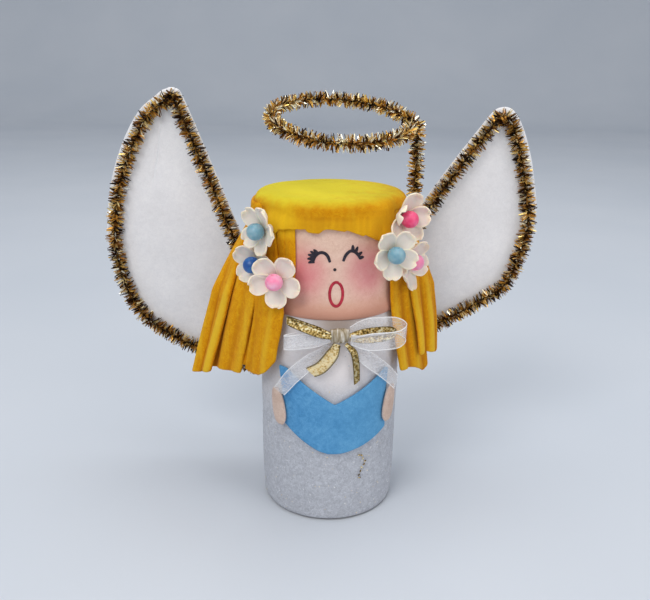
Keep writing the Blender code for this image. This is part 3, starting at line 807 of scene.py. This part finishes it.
def back_hair(material):
    low = GOWN_TOP - 0.0034

    def lay(u, v):
        azimuth = 180 + (u - 0.5) * 2 * mix(80, 61, v ** 3)
        tuft = 0.0014 * abs(sin(u * 19 + 0.6 * sin(u * 31)))
        height = mix(low + tuft, HAIR_TOP + 0.0006, v)
        wave = 0.0005 * (0.5 + 0.5 * sin(u * 38)) * (1 - v) ** 0.7
        swell = (side_swell(azimuth) + side_flare(azimuth)) * v ** 3
        reach = HAIR_IN + wave + swell - 0.00008
        over_gown = gown_radius(azimuth, height) + 0.0013 * hump(azimuth, 183, 7) + 0.0001
        over = ease(GOWN_TOP + 0.003, GOWN_TOP, height)
        return around(azimuth, mix(reach, max(reach, over_gown), over), height)

    # Painted light and shade along the back hair's waves, fading towards the top.
    def fold_light_shade(u, v):
        return sin(u * 38) * (1 - v) ** 0.5 * 0.8

    piece = cloth("hair_back_felt", 90, 20, lay, FELT, fold_light_shade=fold_light_shade)
    dress(piece, material, "yellow_felt", ["hair_back"], "figure")


SIDE_HAIR = {
    "left": {
        "side": -1, "top": (57, 119.5), "fold_height": TUBE_TOP - 0.033,
        "fold": ((40.4, 0.0019), (96.9, 0.0165)), "tip": ((51.5, 0.0029), (100, 0.0242)),
        "tip_height": 0.047, "locks": 4, "flat_width": 0.047,
        "strips": (
            # shares at the top, at the tips, heights of the cut end, outward layer, folds (share, push)
            ((0.22, 0.46), (0.22, 0.44), ((0, 0.0498), (0.5, 0.0492), (1, 0.0496)), -0.0009,
             ((0.5, -0.0012),)),
            ((-0.09, 0.34), (-0.13, 0.275),
             ((0, 0.056), (0.34, 0.0506), (0.52, 0.0491), (0.8, 0.0485), (1, 0.0493)), 0.0008,
             ((0.36, 0.0006), (0.85, -0.0005))),
            ((0.31, 0.82), (0.375, 0.88), ((0, 0.0462), (0.5, 0.0446), (1, 0.0434)), 0,
             ((0.1, 0.0005), (0.36, -0.0005), (0.58, 0.0003), (0.8, -0.0012))),
            ((0.68, 1), (0.76, 1.04), ((0, 0.0434), (0.4, 0.0416), (1, 0.0402)), 0.0012,
             ((0.2, 0.0012), (0.62, -0.0009), (0.95, 0.0005))),
        ),
    },
    "right": {
        "side": 1, "top": (50, 119.5), "fold_height": TUBE_TOP - 0.0295,
        "fold": ((51.2, 0.0011), (96.8, 0.0117)), "tip": ((59.4, 0.0036), (98, 0.0139)),
        "tip_height": 0.048, "locks": 3, "flat_width": 0.038,
        "strips": (
            ((0, 0.6), (0, 0.82), ((0, 0.0508), (0.5, 0.049), (0.86, 0.0452), (1, 0.0466)), 0,
             ((0.12, 0.0006), (0.36, -0.0008), (0.6, 0.0006), (0.84, -0.0006))),
            ((0.36, 1), (0.42, 1), ((0, 0.0537), (0.5, 0.0528), (0.93, 0.0506), (1, 0.0514)), 0.0013,
             ((0.1, 0.0008), (0.42, -0.0011), (0.64, 0.0008), (0.88, -0.0006))),
        ),
    },
}


def side_hair(word, material):
    """One side's felt: it leaves the crown's edge, flares out and ends in loose strips."""
    hair = SIDE_HAIR[word]
    side = hair["side"]
    fold_share = 0.52

    def line(ends, height, share):
        first, last = [around(side * angle, HAIR_IN + off, height) for angle, off in ends]
        return mix(first, last, share)

    def surface(share, fall, low):
        angle = side * mix(*hair["top"], share)
        top = around(angle, HAIR_IN + side_swell(angle) + side_flare(angle) - 0.00008, HAIR_TOP + 0.0006)
        fold = line(hair["fold"], hair["fold_height"], share)
        tip = line(hair["tip"], low, share)
        if fall < fold_share:
            path = mix(top, fold, fall / fold_share)
        else:
            path = mix(fold, tip, (fall - fold_share) / (1 - fold_share))
        soft = hump(fall, fold_share, 0.13) * 0.12
        return mix(path, (top + tip) / 2 * 0.5 + fold * 0.5, soft)

    out = (line(hair["fold"], 0, 1) - line(hair["fold"], 0, 0)).normalized().cross(UP) * side
    strips = []
    for number, (top_shares, tip_shares, ends, layer, folds) in enumerate(hair["strips"]):
        def lay(u, v):
            across = u if side > 0 else 1 - u
            fall = 1 - v
            share = mix(mix(*top_shares, across), mix(*tip_shares, across), ease(0.25, 1, fall))
            spot = surface(share, fall, reading(ends, across))
            grow = ease(0.18, 0.9, fall)
            push = sum(far * hump(across, middle, 0.13) for middle, far in folds) * grow
            sway = 0.0004 * sin(fall * 7 + number * 2.1) * grow
            ripple = 0.00016 * noise.noise(Vector((across * 9, fall * 5, number * 4 + side)))
            return spot + out * (push + sway + ripple + layer * ease(0.05, 0.35, fall))

        # Painted light on the strips' raised folds and painted shade in their sunken ones.
        def fold_light_shade(u, v):
            across = u if side > 0 else 1 - u
            depth = sum(far * hump(across, middle, 0.11) for middle, far in folds) / 0.001
            return max(-1, min(1, depth)) * ease(0.85, 0.3, v)

        strips.append(cloth("strip", 22, 40, lay, FELT, fold_light_shade=fold_light_shade))
    piece = joined(f"{word}_hair", strips)
    nodes = [f"hair_flap_{word}"] + [f"{word}_lock_{n + 1}" for n in range(hair["locks"])]
    dress(piece, material, "yellow_felt", nodes)
    middle = line(hair["fold"], hair["fold_height"], 0.5)
    bend = UP * 0.0035
    width, length, mean_length = hair["flat_width"], 0.058, 0.053
    round(width * mean_length, 5)
    middle + bend
    middle - bend
    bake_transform(piece)


# Song book and hands

BOOK_TOP = ((-42, 0.0545), (4.2, 0.0433), (50.9, 0.0534))
BOOK_LOW = ((-37.2, 0.0352), (-0.6, 0.0252), (49.6, 0.0322))
BOOK_RISE = (((0, 0.98), (0.17, 0.97), (0.44, 0.66), (1, 0)),
             ((0, 0), (0.79, 0.84), (0.93, 1), (1, 0.95)))


def song_book():
    """Open book cut from one piece, with a soft crease along its spine."""
    def lay(u, v):
        page = 0 if u < 0.5 else 1
        share = u * 2 - page
        outer = BOOK_TOP[page * 2][1]
        top = (mix(BOOK_TOP[page][0], BOOK_TOP[page + 1][0], share),
               mix(BOOK_TOP[1][1], outer, reading(BOOK_RISE[page], share)))
        bow = (-0.00025, -0.0008)[page] * sin(share * pi)
        low = (mix(BOOK_LOW[page][0], BOOK_LOW[page + 1][0], share),
               mix(BOOK_LOW[page][1], BOOK_LOW[page + 1][1], share) + bow + 0.0007 * hump(u, 0.5, 0.07))
        waist = 1.2 * sin(v * pi) * (abs(u - 0.5) * 2) ** 6
        azimuth = mix(low[0], top[0], v) - copysign(waist, u - 0.5)
        height = mix(low[1], top[1], v)
        puff = 0.0004 * sin(pi * min(1, abs(u - 0.5) * 2)) - 0.0001 * hump(u, 0.5, 0.03)
        return around(azimuth, max(GOWN_R + GLUE, gown_radius(azimuth, height) + 0.0001) + puff, height)

    piece = cloth("song_book_felt", 56, 22, lay, PATCH_FELT)
    dress(piece, book_felt(), "blue_felt", ["song_book"], "figure")


HAND_HALF_WIDTH = 0.0022
HAND_HALF_LENGTH = 0.006
HAND_OFF = 0.0017


def hands():
    skin = felt("hand felt", hue(192, 165, 150), hue(204, 180, 166), hue(217, 196, 184), 0.3).coloured()
    for name, centre, level, tilt in (("left_hand", -39.8, 0.0408, 8), ("right_hand", 49.6, 0.0411, -8)):
        def lay(u, v):
            rise = (v - 0.5) * 2
            half = HAND_HALF_WIDTH * sqrt(max(0, 1 - abs(rise) ** 2.6)) + 0.00008
            half *= 1 - 0.12 * rise
            height = level + rise * HAND_HALF_LENGTH
            slant = degrees(tan(radians(tilt)) * rise * -HAND_HALF_LENGTH / GOWN_R)
            azimuth = centre + slant + degrees((u - 0.5) * 2 * half / GOWN_R)
            dome = 0.0003 * cos((u - 0.5) * pi)
            return around(azimuth, GOWN_R + HAND_OFF + dome, height)

        piece = cloth(f"{name}_felt", 10, 18, lay, PATCH_FELT)
        dress(piece, skin, "skin_felt", [name], "figure")


# Bow

BOW_ANGLE = 6.5
BOW_LEVEL = GOWN_TOP - 0.0054
KNOT = (0.0064, 0.0032, 0.0042)
RIBBON = 0.00022
LOOPS = {
    # side, reach, belly, step forward, lift, climb, half gap at the knot, width, droop of the outer end
    "white_loop_left": (-1, 0.014, 0.002, 0.0004, -0.0002, -0.04, 0.0004, 0.0048, -0.0008),
    "gold_loop_left": (-1, 0.014, 0.0017, 0.0027, 0.001, 0.36, 0.0005, 0.0028, 0.0006),
    "white_loop_right": (1, 0.0172, 0.0052, 0.0014, 0.0004, 0.08, 0.0011, 0.0056, -0.0006),
    "gold_loop_right": (1, 0.014, 0.0028, 0.0014, -0.0001, 0.09, 0.0005, 0.0022, 0),
}
TAILS = {
    # width, then azimuth, stand-off from the gown and height along the ribbon
    "white_tail_left": (0.0044, (
        (0, 0.0012, 0.063), (-14, 0.0013, 0.0582), (-26, 0.0022, 0.0531), (-32, 0.0026, 0.0498),
        (-37.6, 0.0032, 0.0463))),
    "white_tail_right": (0.0044, (
        (13, 0.0012, 0.063), (25, 0.0013, 0.0594), (38, 0.0023, 0.0548), (47, 0.0028, 0.0512),
        (54, 0.0036, 0.0477))),
    "gold_tail_left": (0.0038, (
        (4.5, 0.0026, 0.0645), (0.9, 0.0025, 0.0608), (-6.2, 0.0022, 0.0566), (-14, 0.002, 0.0545))),
    "gold_tail_right": (0.002, (
        (10.5, 0.0026, 0.0645), (16.5, 0.0024, 0.0612), (19, 0.0021, 0.056), (20, 0.0018, 0.0508))),
}


def bow():
    kinds = {"white": (sheer_ribbon(), "sheer_ribbon"), "gold": (gold_ribbon(), "gold_ribbon")}
    across = outward(BOW_ANGLE + 90)
    out = outward(BOW_ANGLE)
    centre = around(BOW_ANGLE, GOWN_R + GLUE + KNOT[1] / 2, BOW_LEVEL)

    def ribbon(name, columns, lay):
        finish, slot = kinds[name.split("_")[0]]
        piece = cloth(f"{name}_ribbon", columns, 10, lay, RIBBON, 0)
        dress(piece, finish, slot, [name], "figure")

    knot = added(bpy.ops.mesh.primitive_uv_sphere_add, segments=48, ring_count=32, radius=1)
    for vertex in knot.data.vertices:
        spot = vertex.co.copy()
        square = max(abs(spot.x), abs(spot.z), 0.001) / max(hypot(spot.x, spot.z), 0.001)
        boxy = mix(1, 1 / square, 0.62)
        pinch = 1 - 0.1 * ease(0.2, -0.9, spot.z)
        pleat = 0.1 * sin(spot.x * 11 + 0.8 * spot.z) + 0.05 * sin(spot.x * 23 + 1)
        vertex.co = (centre + across * (spot.x * boxy * pinch * KNOT[0] / 2)
                     + out * ((spot.y + pleat * max(0, 1 - abs(spot.x) ** 4)) * KNOT[1] / 2)
                     + UP * (spot.z * boxy * (KNOT[2] + 0.0005) / 2))
    only(knot)
    bpy.ops.object.mode_set(mode="EDIT")
    bpy.ops.mesh.select_all(action="SELECT")
    bpy.ops.mesh.normals_make_consistent(inside=False)
    bpy.ops.object.mode_set(mode="OBJECT")
    rounded(knot)
    knot.name = "bow_knot_wrap"
    dress(knot, knot_ribbon(), "sheer_ribbon", ["bow_knot"], "figure")

    for name, (side, reach, belly, forward, lift, climb, pinch, width, droop) in LOOPS.items():
        start = centre + across * side * (KNOT[0] / 2 - 0.0003) + out * forward + UP * lift
        away = (across * side + UP * climb).normalized()
        outline = ((0, pinch), (0.18, pinch + belly * 0.22), (0.48, belly * 0.5), (0.84, belly * 0.44),
                   (1, 0), (0.84, -belly * 0.44), (0.48, -belly * 0.5), (0.18, -pinch - belly * 0.22),
                   (0, -pinch))
        lean = 0.62 if side > 0 else 0.15
        path = smooth_path([start + away * (reach * far) + out * off + UP * (droop * far ** 2 - lean * off)
                            for far, off in outline], 5)

        def lay(u, v):
            spot = along(path, u)
            far = (spot - start).dot(away) / reach
            flare = mix(0.62, 1, ease(0, 0.4, far))
            curl = 0.0003 * sin(u * 9 + v * 2)
            return spot + UP * ((v - 0.5) * width * flare) + out * curl

        ribbon(name, 48, lay)

    for name, (width, stations) in TAILS.items():
        path = smooth_path([Vector(station) for station in stations], 6)

        def lay(u, v):
            low, spot, high = [
                around(here.x, GOWN_R + here.y, here.z)
                for here in (along(path, share) for share in (max(0, u - 0.04), u, min(1, u + 0.04)))]
            run = (high - low).normalized()
            face_way = Vector((spot.x - AXIS.x, spot.y - AXIS.y, 0)).normalized()
            flare = mix(0.66, 1, ease(0, 0.35, u)) * (1 + 0.12 * sin(u * pi))
            side = face_way.cross(run).normalized() * ((v - 0.5) * width * flare)
            curl = 0.00012 * sin(v * 7 + u * 5) + 0.0002 * (v - 0.5) ** 2
            end = run * (0.0012 * (0.5 - v) * ease(0.8, 1, u))
            return spot + side + face_way * curl + end

        ribbon(name, 40, lay)
    return kinds["gold"][0]


# Flowers

FLOWERS = {
    # azimuth, stand-off from the hair, drop below the roll's top, facing azimuth, turn, stalk, bead slot,
    # how far each petal is bent forward, petal size
    "flower_left_front": (
        -38.2, 0.0033, 0.0219, -12, 54, 0.0026, "bead_pale_pink", (0, 4, 4, 0, 0), 1),
    "flower_left_outer": (
        -60.6, 0.0026, 0.0192, -41, 5, 0.0013, "bead_blue", (6, -14, 30, 28, 10), 1.03),
    "flower_left_upper": (
        -49.1, 0.0038, 0.0077, -48.1, -8, 0.0035, "bead_sky", (8, 4, 4, 10, 4), 0.95),
    "flower_right_front": (
        40, 0.0047, 0.0131, 18.7, -18, 0.0042, "bead_sky", (4, 0, 8, 12, 0), 0.93),
    "flower_right_outer": (
        65.5, 0.0025, 0.0184, 64.9, -24, 0.001, "bead_pale_pink", (34, 28, 0, 0, 6), 1.08),
    "flower_right_upper": (
        54.7, 0.0029, 0.0038, 34.4, 6, 0.0021, "bead_rose", (22, 8, 31, 8, 4), 1),
}
PETAL_REACH = 0.0083
PETAL_HALF = 0.0034
PETAL_HINGE = 0.0024
PETAL_FILM = 0.00055
BEAD_RADIUS = 0.0027
STALK_RADIUS = 0.0016


def petal(angle, size, curl, bend):
    """One cupped, round-ended petal that leaves the flower's centre at an angle, bent up past the bead."""
    turn = Matrix.Rotation(angle, 3, "Z")
    hinge = Vector((PETAL_HINGE, 0, 0))

    def lay(u, v):
        reach = mix(0.0007, PETAL_REACH * size, v)
        width = reading(((0, 0.42), (0.15, 0.6), (0.32, 0.84), (0.5, 0.98), (0.64, 1), (0.78, 0.95),
                         (0.89, 0.76), (0.96, 0.5), (1, 0.22)), v) * PETAL_HALF
        side = (0.5 - u) * 2
        cup = 0.0011 * v + 0.0013 * side * side * sin(min(1, v * 1.15) * pi * 0.62)
        cup += 0.0005 * ease(0.75, 1, v)
        ruffle = 0.00018 * sin(u * 11 + angle * 3) * v
        lean = Matrix.Rotation(-radians(bend) * ease(0.0014, 0.0038, reach), 3, "Y")
        return turn @ (lean @ (Vector((reach, side * width * size, cup * curl + ruffle)) - hinge) + hinge)

    return cloth("petal", 10, 14, lay, PETAL_FILM, 0)


def flowers():
    cloth_finish = petal_cloth()
    bead_finishes = {
        "bead_pale_pink": bead("pale pink bead", hue(250, 138, 178), hue(252, 182, 208)),
        "bead_rose": bead("rose bead", hue(238, 58, 118), hue(250, 108, 150)),
        "bead_sky": bead("sky bead", hue(112, 160, 178), hue(152, 184, 192)),
        "bead_blue": bead("blue bead", hue(12, 80, 156), hue(40, 124, 196)),
    }
    draw = random.Random(5)
    for name, (azimuth, off, drop, facing, turn, stalk, slot, bends, scale) in FLOWERS.items():
        centre = around(azimuth, HAIR_R + off, TUBE_TOP - drop)
        stand = basis(outward(facing + 90), UP, outward(facing), centre)
        petals = [petal(radians(turn + 72 * number + draw.uniform(-4, 4)),
                        draw.uniform(0.94, 1.03) * scale, draw.uniform(0.75, 1.35), bends[number])
                  for number in range(5)]

        post = added(bpy.ops.mesh.primitive_cylinder_add, vertices=20, radius=STALK_RADIUS, depth=stalk,
                     location=(0, 0, -stalk / 2 + 0.0002))
        bpy.ops.object.transform_apply(location=True)
        apply(post, "BEVEL", width=0.0004, segments=2)
        bloom = joined(f"{name}_bloom", petals + [post])
        bloom.data.transform(stand)
        only(bloom)
        bpy.ops.object.shade_smooth_by_angle(angle=radians(50))
        dress(bloom, cloth_finish, "petal_white", [f"{name}_petals"], "figure")

        pearl = added(bpy.ops.mesh.primitive_uv_sphere_add, segments=28, ring_count=18, radius=BEAD_RADIUS)
        for vertex in pearl.data.vertices:
            spot = vertex.co.copy()
            dimple = 1 - 0.45 * ease(0.955, 1, abs(spot.z) / BEAD_RADIUS)
            vertex.co = Vector((spot.x, spot.z * dimple * 0.97, -spot.y + 0.003))
        rounded(pearl)
        pearl.name = f"{name}_pearl"
        pearl.data.transform(stand)
        dress(pearl, bead_finishes[slot], slot, [f"{name}_bead"], "figure")


# Tinsel

def strip_pattern():
    """One film strip along +X, one unit long: narrow, thin, slightly curled and cut to a point."""
    strip = added(bpy.ops.mesh.primitive_cube_add, size=1)
    for vertex in strip.data.vertices:
        vertex.co.x = 0.5 if vertex.co.x > 0 else 0
    bpy.ops.object.mode_set(mode="EDIT")
    bpy.ops.mesh.select_all(action="DESELECT")
    bpy.ops.object.mode_set(mode="OBJECT")
    for facet in strip.data.polygons:
        facet.select = facet.normal.x > 0.9
    bpy.ops.object.mode_set(mode="EDIT")
    bpy.ops.mesh.extrude_region_move(TRANSFORM_OT_translate={"value": (0.5, 0, 0.35)})
    bpy.ops.object.mode_set(mode="OBJECT")
    for vertex in strip.data.vertices:
        if vertex.co.x > 0.9:
            vertex.co.y *= 0.45
    return strip


WIRE_RADIUS = 0.0005
STRIP_FILM = 0.00009
GOLDEN_ANGLE = 2.39996


def tinsel_stem(name, path, density, reach, seed, glow, backing=None):
    """Twisted wire along a path with film strips standing out all round it."""
    draw = random.Random(seed)
    lengths = [0]
    for a, b in zip(path, path[1:]):
        lengths.append(lengths[-1] + (b - a).length)
    total = lengths[-1]

    def at(distance):
        low = max(0, min(len(path) - 2, np.searchsorted(lengths, distance, "right") - 1))
        share = (distance - lengths[low]) / (lengths[low + 1] - lengths[low])
        return mix(path[low], path[low + 1], share), (path[low + 1] - path[low]).normalized()

    places = []
    tones = []
    count = int(total * density)
    for number in range(count):
        distance = total * (number + draw.random()) / count
        spot, run = at(distance)
        angle = number * GOLDEN_ANGLE + draw.uniform(-0.5, 0.5)
        out = spoke(run, angle)
        x_way = (out + run * draw.uniform(-0.48, 0.48)).normalized()
        length = reach * draw.uniform(0.74, 1.1)
        width = draw.uniform(0.00038, 0.00072)
        if backing:
            toward, room = backing
            over = -x_way.dot(toward) - room / length
            if over > 0:
                x_way += toward * over
                length *= max(0.35, x_way.length)
                x_way.normalize()
        roll = draw.uniform(0, pi)
        side = x_way.cross(run).normalized()
        y_way = side * cos(roll) + x_way.cross(side) * sin(roll)
        z_way = x_way.cross(y_way)
        root = spot + out * (WIRE_RADIUS * 0.4)
        places.append(basis(x_way * length, y_way * width, z_way * STRIP_FILM, root))
        clump = noise.noise(Vector((distance * 900, cos(angle) * 0.9, sin(angle) * 0.9 + seed)))
        # Each strip's tone mixes its own colour with painted glints and dark reflections; glow lifts or
        # lowers the painted brightness of the whole stem.
        shade = draw.choice((0.06, 0.16, 0.36, 0.58, 0.74, 0.96)) + glow
        tones.append(min(1, max(0, shade + clump * 0.5 + draw.gauss(0, 0.06))))
    fibres = scatter(name, strip_pattern(), places, tones)

    wire = added(bpy.ops.curve.primitive_bezier_curve_add)
    wire.data.splines.clear()
    for phase in (0, pi):
        spline = wire.data.splines.new("POLY")
        steps = max(8, int(total / 0.0008))
        spline.points.add(steps)
        for step, point in enumerate(spline.points):
            spot, run = at(min(total * step / steps, total * 0.99999))
            point.co = (*(spot + spoke(run, phase + step * 0.8) * (WIRE_RADIUS * 0.55)), 1)
    wire.data.dimensions = "3D"
    wire.data.bevel_depth = WIRE_RADIUS * 0.6
    wire.data.bevel_resolution = 1
    wire.data.use_fill_caps = True
    only(wire)
    bpy.ops.object.convert(target="MESH")
    wire = bpy.context.object
    wire.name = name + "_wire"
    wire.data.transform(wire.matrix_world)
    wire.matrix_world = Matrix.Identity(4)
    return fibres, wire


# Wings

WING_SHEET = 0.0012
FOLD_RADIUS = GOWN_R + GLUE + WING_SHEET / 2
WING_SWEEP = radians(4)
TAB_AZIMUTH = 152
WING_MARGIN = 0.0026
TRIM_RADIUS = 0.0016
TRIM_DENSITY = 13000
TRIM_REACH = 0.003
WINGS = {
    # side, the tab's ends and the trim's points (away from the fold, above the gown's top)
    "left": (-1, (-0.0412, -0.0262), (
        (0.0088, -0.0372), (0.0288, -0.0317), (0.0458, -0.0255), (0.0602, -0.0136), (0.0663, 0.0081),
        (0.0632, 0.0315), (0.0538, 0.0524), (0.0472, 0.0589), (0.0435, 0.061), (0.0405, 0.0576),
        (0.0229, 0.0136), (0.0133, -0.0092))),
    "right": (1, (-0.0362, -0.0092), (
        (0.0088, -0.0307), (0.0296, -0.0179), (0.0437, -0.0099), (0.0533, -0.0022), (0.0587, 0.0178),
        (0.0563, 0.0341), (0.053, 0.0458), (0.0496, 0.0541), (0.0462, 0.0564), (0.0416, 0.0519),
        (0.0228, 0.0254), (0.0118, 0.0068))),
}


def wings(film, wire_finish):
    sheet = felt("wing felt", hue(228, 227, 229), hue(235, 234, 236), hue(242, 241, 242), 0.14).coloured()
    tab_width, rims = 0.014, 0.005
    for number, (word, (side, tab, line)) in enumerate(WINGS.items()):
        fold = around(side * TAB_AZIMUTH, FOLD_RADIUS, 0)
        away = Vector((side * cos(WING_SWEEP), sin(WING_SWEEP), 0))
        front = Vector((side * sin(WING_SWEEP), -cos(WING_SWEEP), 0))
        low, high = GOWN_TOP + tab[0], GOWN_TOP + tab[1]

        def stand(flat, forward):
            return fold + away * flat.x + UP * flat.y + front * forward

        path = smooth_path([Vector((far, GOWN_TOP + rise)) for far, rise in line], 8)
        edge = [point + Vector((run.y, -run.x)) * WING_MARGIN for point, run in runs(path)]
        half = len(edge) // 2
        rim_low = [Vector((0.0005, low))] + edge[:half + 1]
        rim_high = [Vector((0.0005, high))] + edge[:half - 1:-1]
        tab_rows = 9
        rows = tab_rows + half + 2

        def lay(u, v):
            row = min(rows, int(round((u if side > 0 else 1 - u) * rows)))
            if row < tab_rows:
                azimuth = mix(178, TAB_AZIMUTH + 0.8, row / (tab_rows - 1))
                return around(side * azimuth, FOLD_RADIUS, mix(low, high, v))
            place = row - tab_rows
            first = rim_low[min(place, len(rim_low) - 1)]
            last = rim_high[min(place, len(rim_high) - 1)]
            flat = mix(first, last, v)
            belly = 0.0006 * sin(pi * v) * ease(0.01, 0.04, flat.x) * ease(0, 0.03, (last - first).length)
            wave = 0.0004 * noise.noise(Vector((flat.x * 60, flat.y * 60, number * 5)))
            return stand(flat, (belly + wave) * ease(0.004, 0.02, flat.x))

        panel = cloth(f"{word}_wing_felt", rows, 24, lay, WING_SHEET * 0.9, 0, close=True)
        dress(panel, sheet, "wing_white", [f"{word}_wing_panel", f"{word}_wing_tab"])
        width = max(far for far, _ in line) + tab_width
        height = max(rise for _, rise in line) - min(rise for _, rise in line) + rims
        hinge = fold + UP * (low + high) / 2
        bend = Vector((side * 0.0008, 0, 0))
        hinge - bend
        hinge + bend
        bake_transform(panel)

        ahead = WING_SHEET / 2 + GLUE + TRIM_RADIUS
        stem_path = []
        for point, run in runs(path):
            inset = 0.001 * ease(-0.3, 0.5, run.y) * ease(0.012, 0.03, point.x)
            stem_path.append(stand(point - Vector((run.y, -run.x)) * inset, ahead))
        backing = (front, ahead - WING_SHEET / 2 - GLUE)
        fibres, wire = tinsel_stem(f"{word}_wing_tinsel", stem_path, TRIM_DENSITY, TRIM_REACH, 21 + number,
                                   -0.1, backing)
        dress(fibres, film, "tinsel_gold", [f"{word}_wing_trim"], f"{word}_wing")
        dress(wire, wire_finish, "tinsel_gold", [], f"{word}_wing")


# Halo

HALO_DENSITY = 15000
HALO_REACH = 0.0026


def halo(film, wire_finish):
    low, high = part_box("halo_stem")
    pivot_inset = 0.0015
    nod_height = high.z - pivot_inset
    lean_height = low.z + pivot_inset
    foot = Vector(((low.x + high.x) / 2, (low.y + high.y) / 2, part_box("halo_root")[0].z))
    lean = Vector((foot.x, foot.y, lean_height))
    nod = Vector((foot.x, foot.y, nod_height))
    middle = Vector((foot.x + 0.0002, foot.y, (lean_height + nod_height) / 2))

    def stem(name, points, seed, glow, nodes):
        fibres, wire = tinsel_stem(name, smooth_path(points, 6), HALO_DENSITY, HALO_REACH, seed, glow)
        dress(fibres, film, "tinsel_gold", nodes)
        dress(wire, wire_finish, "tinsel_gold", [])
        for piece in (fibres, wire):
            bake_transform(piece)

    stem("halo_foot_tinsel", [foot, mix(foot, lean, 0.5), lean, middle], 31, -0.08, ["halo_root"])

    radius, beside, forward, above = 0.0213, 0.0027, 0.0031, 0.0057
    centre = nod + Vector((-radius - beside, -forward, above))
    roll = radians(3)
    tilt = radians(13)
    right = Vector((cos(roll), 0, -sin(roll)))
    back = Vector((0, cos(tilt), sin(tilt)))
    start = nod + UP * 0.0018
    points = [middle, mix(lean, nod, 0.8), start,
              start + Vector((-0.0001, 0.0003, 0.0016)), start + Vector((-0.0012, 0.0024, 0.0034))]
    for step in range(25):
        angle = radians(mix(22, 352, step / 24))
        wobble = 1 + 0.012 * sin(angle * 3 + 0.5)
        points.append(centre + (right * cos(angle) + back * sin(angle)) * (radius * wobble))
    stem("halo_ring_tinsel", points, 32, 0.05, ["halo_ring", "halo_stem"])


# Stage

CAMERA_LEFT = 0.0018
CAMERA_BACK = 0.23
CAMERA_HEIGHT = 0.1465


def stage():
    """Pale floor that sweeps up behind, soft lamps and the camera."""
    rows = 40
    floor = added(bpy.ops.mesh.primitive_grid_add, x_subdivisions=2, y_subdivisions=rows, size=1)
    floor.name = "floor_sweep"
    back, bend, wall, width, near = 1.4, 0.5, 3, 60, -30
    for vertex in floor.data.vertices:
        row = round((vertex.co.y + 0.5) * rows)
        angle = radians(90 * min(1, max(0, (row - 1) / (rows - 2))))
        away = near if row == 0 else back + bend * sin(angle)
        rise = wall if row == rows else bend * (1 - cos(angle))
        vertex.co = Vector((vertex.co.x * width, away, rise))
    only(floor)
    bpy.ops.object.shade_smooth()
    f = Finish("floor paper", Roughness=0.9)
    cloud = f.grain(6, 2)
    paper = f.ramp(cloud, (0.3, hue(201, 207, 216)), (0.7, hue(207, 212, 220)))
    floor.data.materials.append(f.coloured(paper))

    world = bpy.data.worlds.new("studio")
    bpy.context.scene.world = world
    world.use_nodes = True
    tree = world.node_tree
    sky = tree.nodes["Background"]
    sky.inputs["Color"].default_value = (0.93, 0.96, 1, 1)
    sky.inputs["Strength"].default_value = 0.52
    seen = tree.nodes.new("ShaderNodeBackground")
    seen.inputs["Color"].default_value = hue(170, 175, 184)
    choice = tree.nodes.new("ShaderNodeMixShader")
    tree.links.new(tree.nodes.new("ShaderNodeLightPath").outputs["Is Camera Ray"], choice.inputs[0])
    tree.links.new(sky.outputs[0], choice.inputs[1])
    tree.links.new(seen.outputs[0], choice.inputs[2])
    tree.links.new(choice.outputs[0], tree.nodes["World Output"].inputs["Surface"])

    target = Vector((AXIS.x, AXIS.y, 0.07))
    for name, place, size, power, colour in (
            ("key_light", (-0.45, -0.75, 0.95), 0.55, 6, (1, 0.98, 0.95)),
            ("top_light", (0.1, 0.15, 1.1), 0.7, 4.2, (0.97, 0.99, 1)),
            ("fill_light", (0.8, -0.55, 0.45), 0.6, 2.1, (1, 0.96, 0.92))):
        bpy.ops.object.light_add(type="AREA", location=place)
        lamp = bpy.context.object
        lamp.name = name
        lamp.data.size = size
        lamp.data.energy = power
        lamp.data.color = colour
        lamp.rotation_euler = (target - Vector(place)).to_track_quat("-Z", "Y").to_euler()

    bpy.ops.object.camera_add()
    camera = bpy.context.object
    camera.data.sensor_width = 36
    camera.data.lens = 40.54
    camera.data.clip_start = 0.01
    pitch = radians(18.4)
    roll = radians(0.8)
    ahead = Vector((0, cos(pitch), -sin(pitch)))
    upright = Vector((0, sin(pitch), cos(pitch)))
    side = Vector((1, 0, 0))
    right = side * cos(roll) + upright * sin(roll)
    above = upright * cos(roll) - side * sin(roll)
    place = Vector((AXIS.x - CAMERA_LEFT, AXIS.y - CAMERA_BACK, CAMERA_HEIGHT))
    camera.matrix_world = basis(right, above, -ahead, place)
    bpy.context.scene.camera = camera
    bpy.context.scene.view_settings.view_transform = "Standard"


def main():
    stage()
    gown()
    gown_glitter()
    face()
    drawn_face()
    hair = hair_felt()
    crown(hair)
    temple_strands(hair)
    back_hair(hair)
    for word in SIDE_HAIR:
        side_hair(word, hair)
    song_book()
    hands()
    gold_fleck(bow())
    flowers()
    film = tinsel()
    wire_finish = stem_wire()
    wings(film, wire_finish)
    halo(film, wire_finish)
    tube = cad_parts["cardboard_tube"]
    tube.data.materials.clear()
    tube.data.materials.append(cardboard())


main()
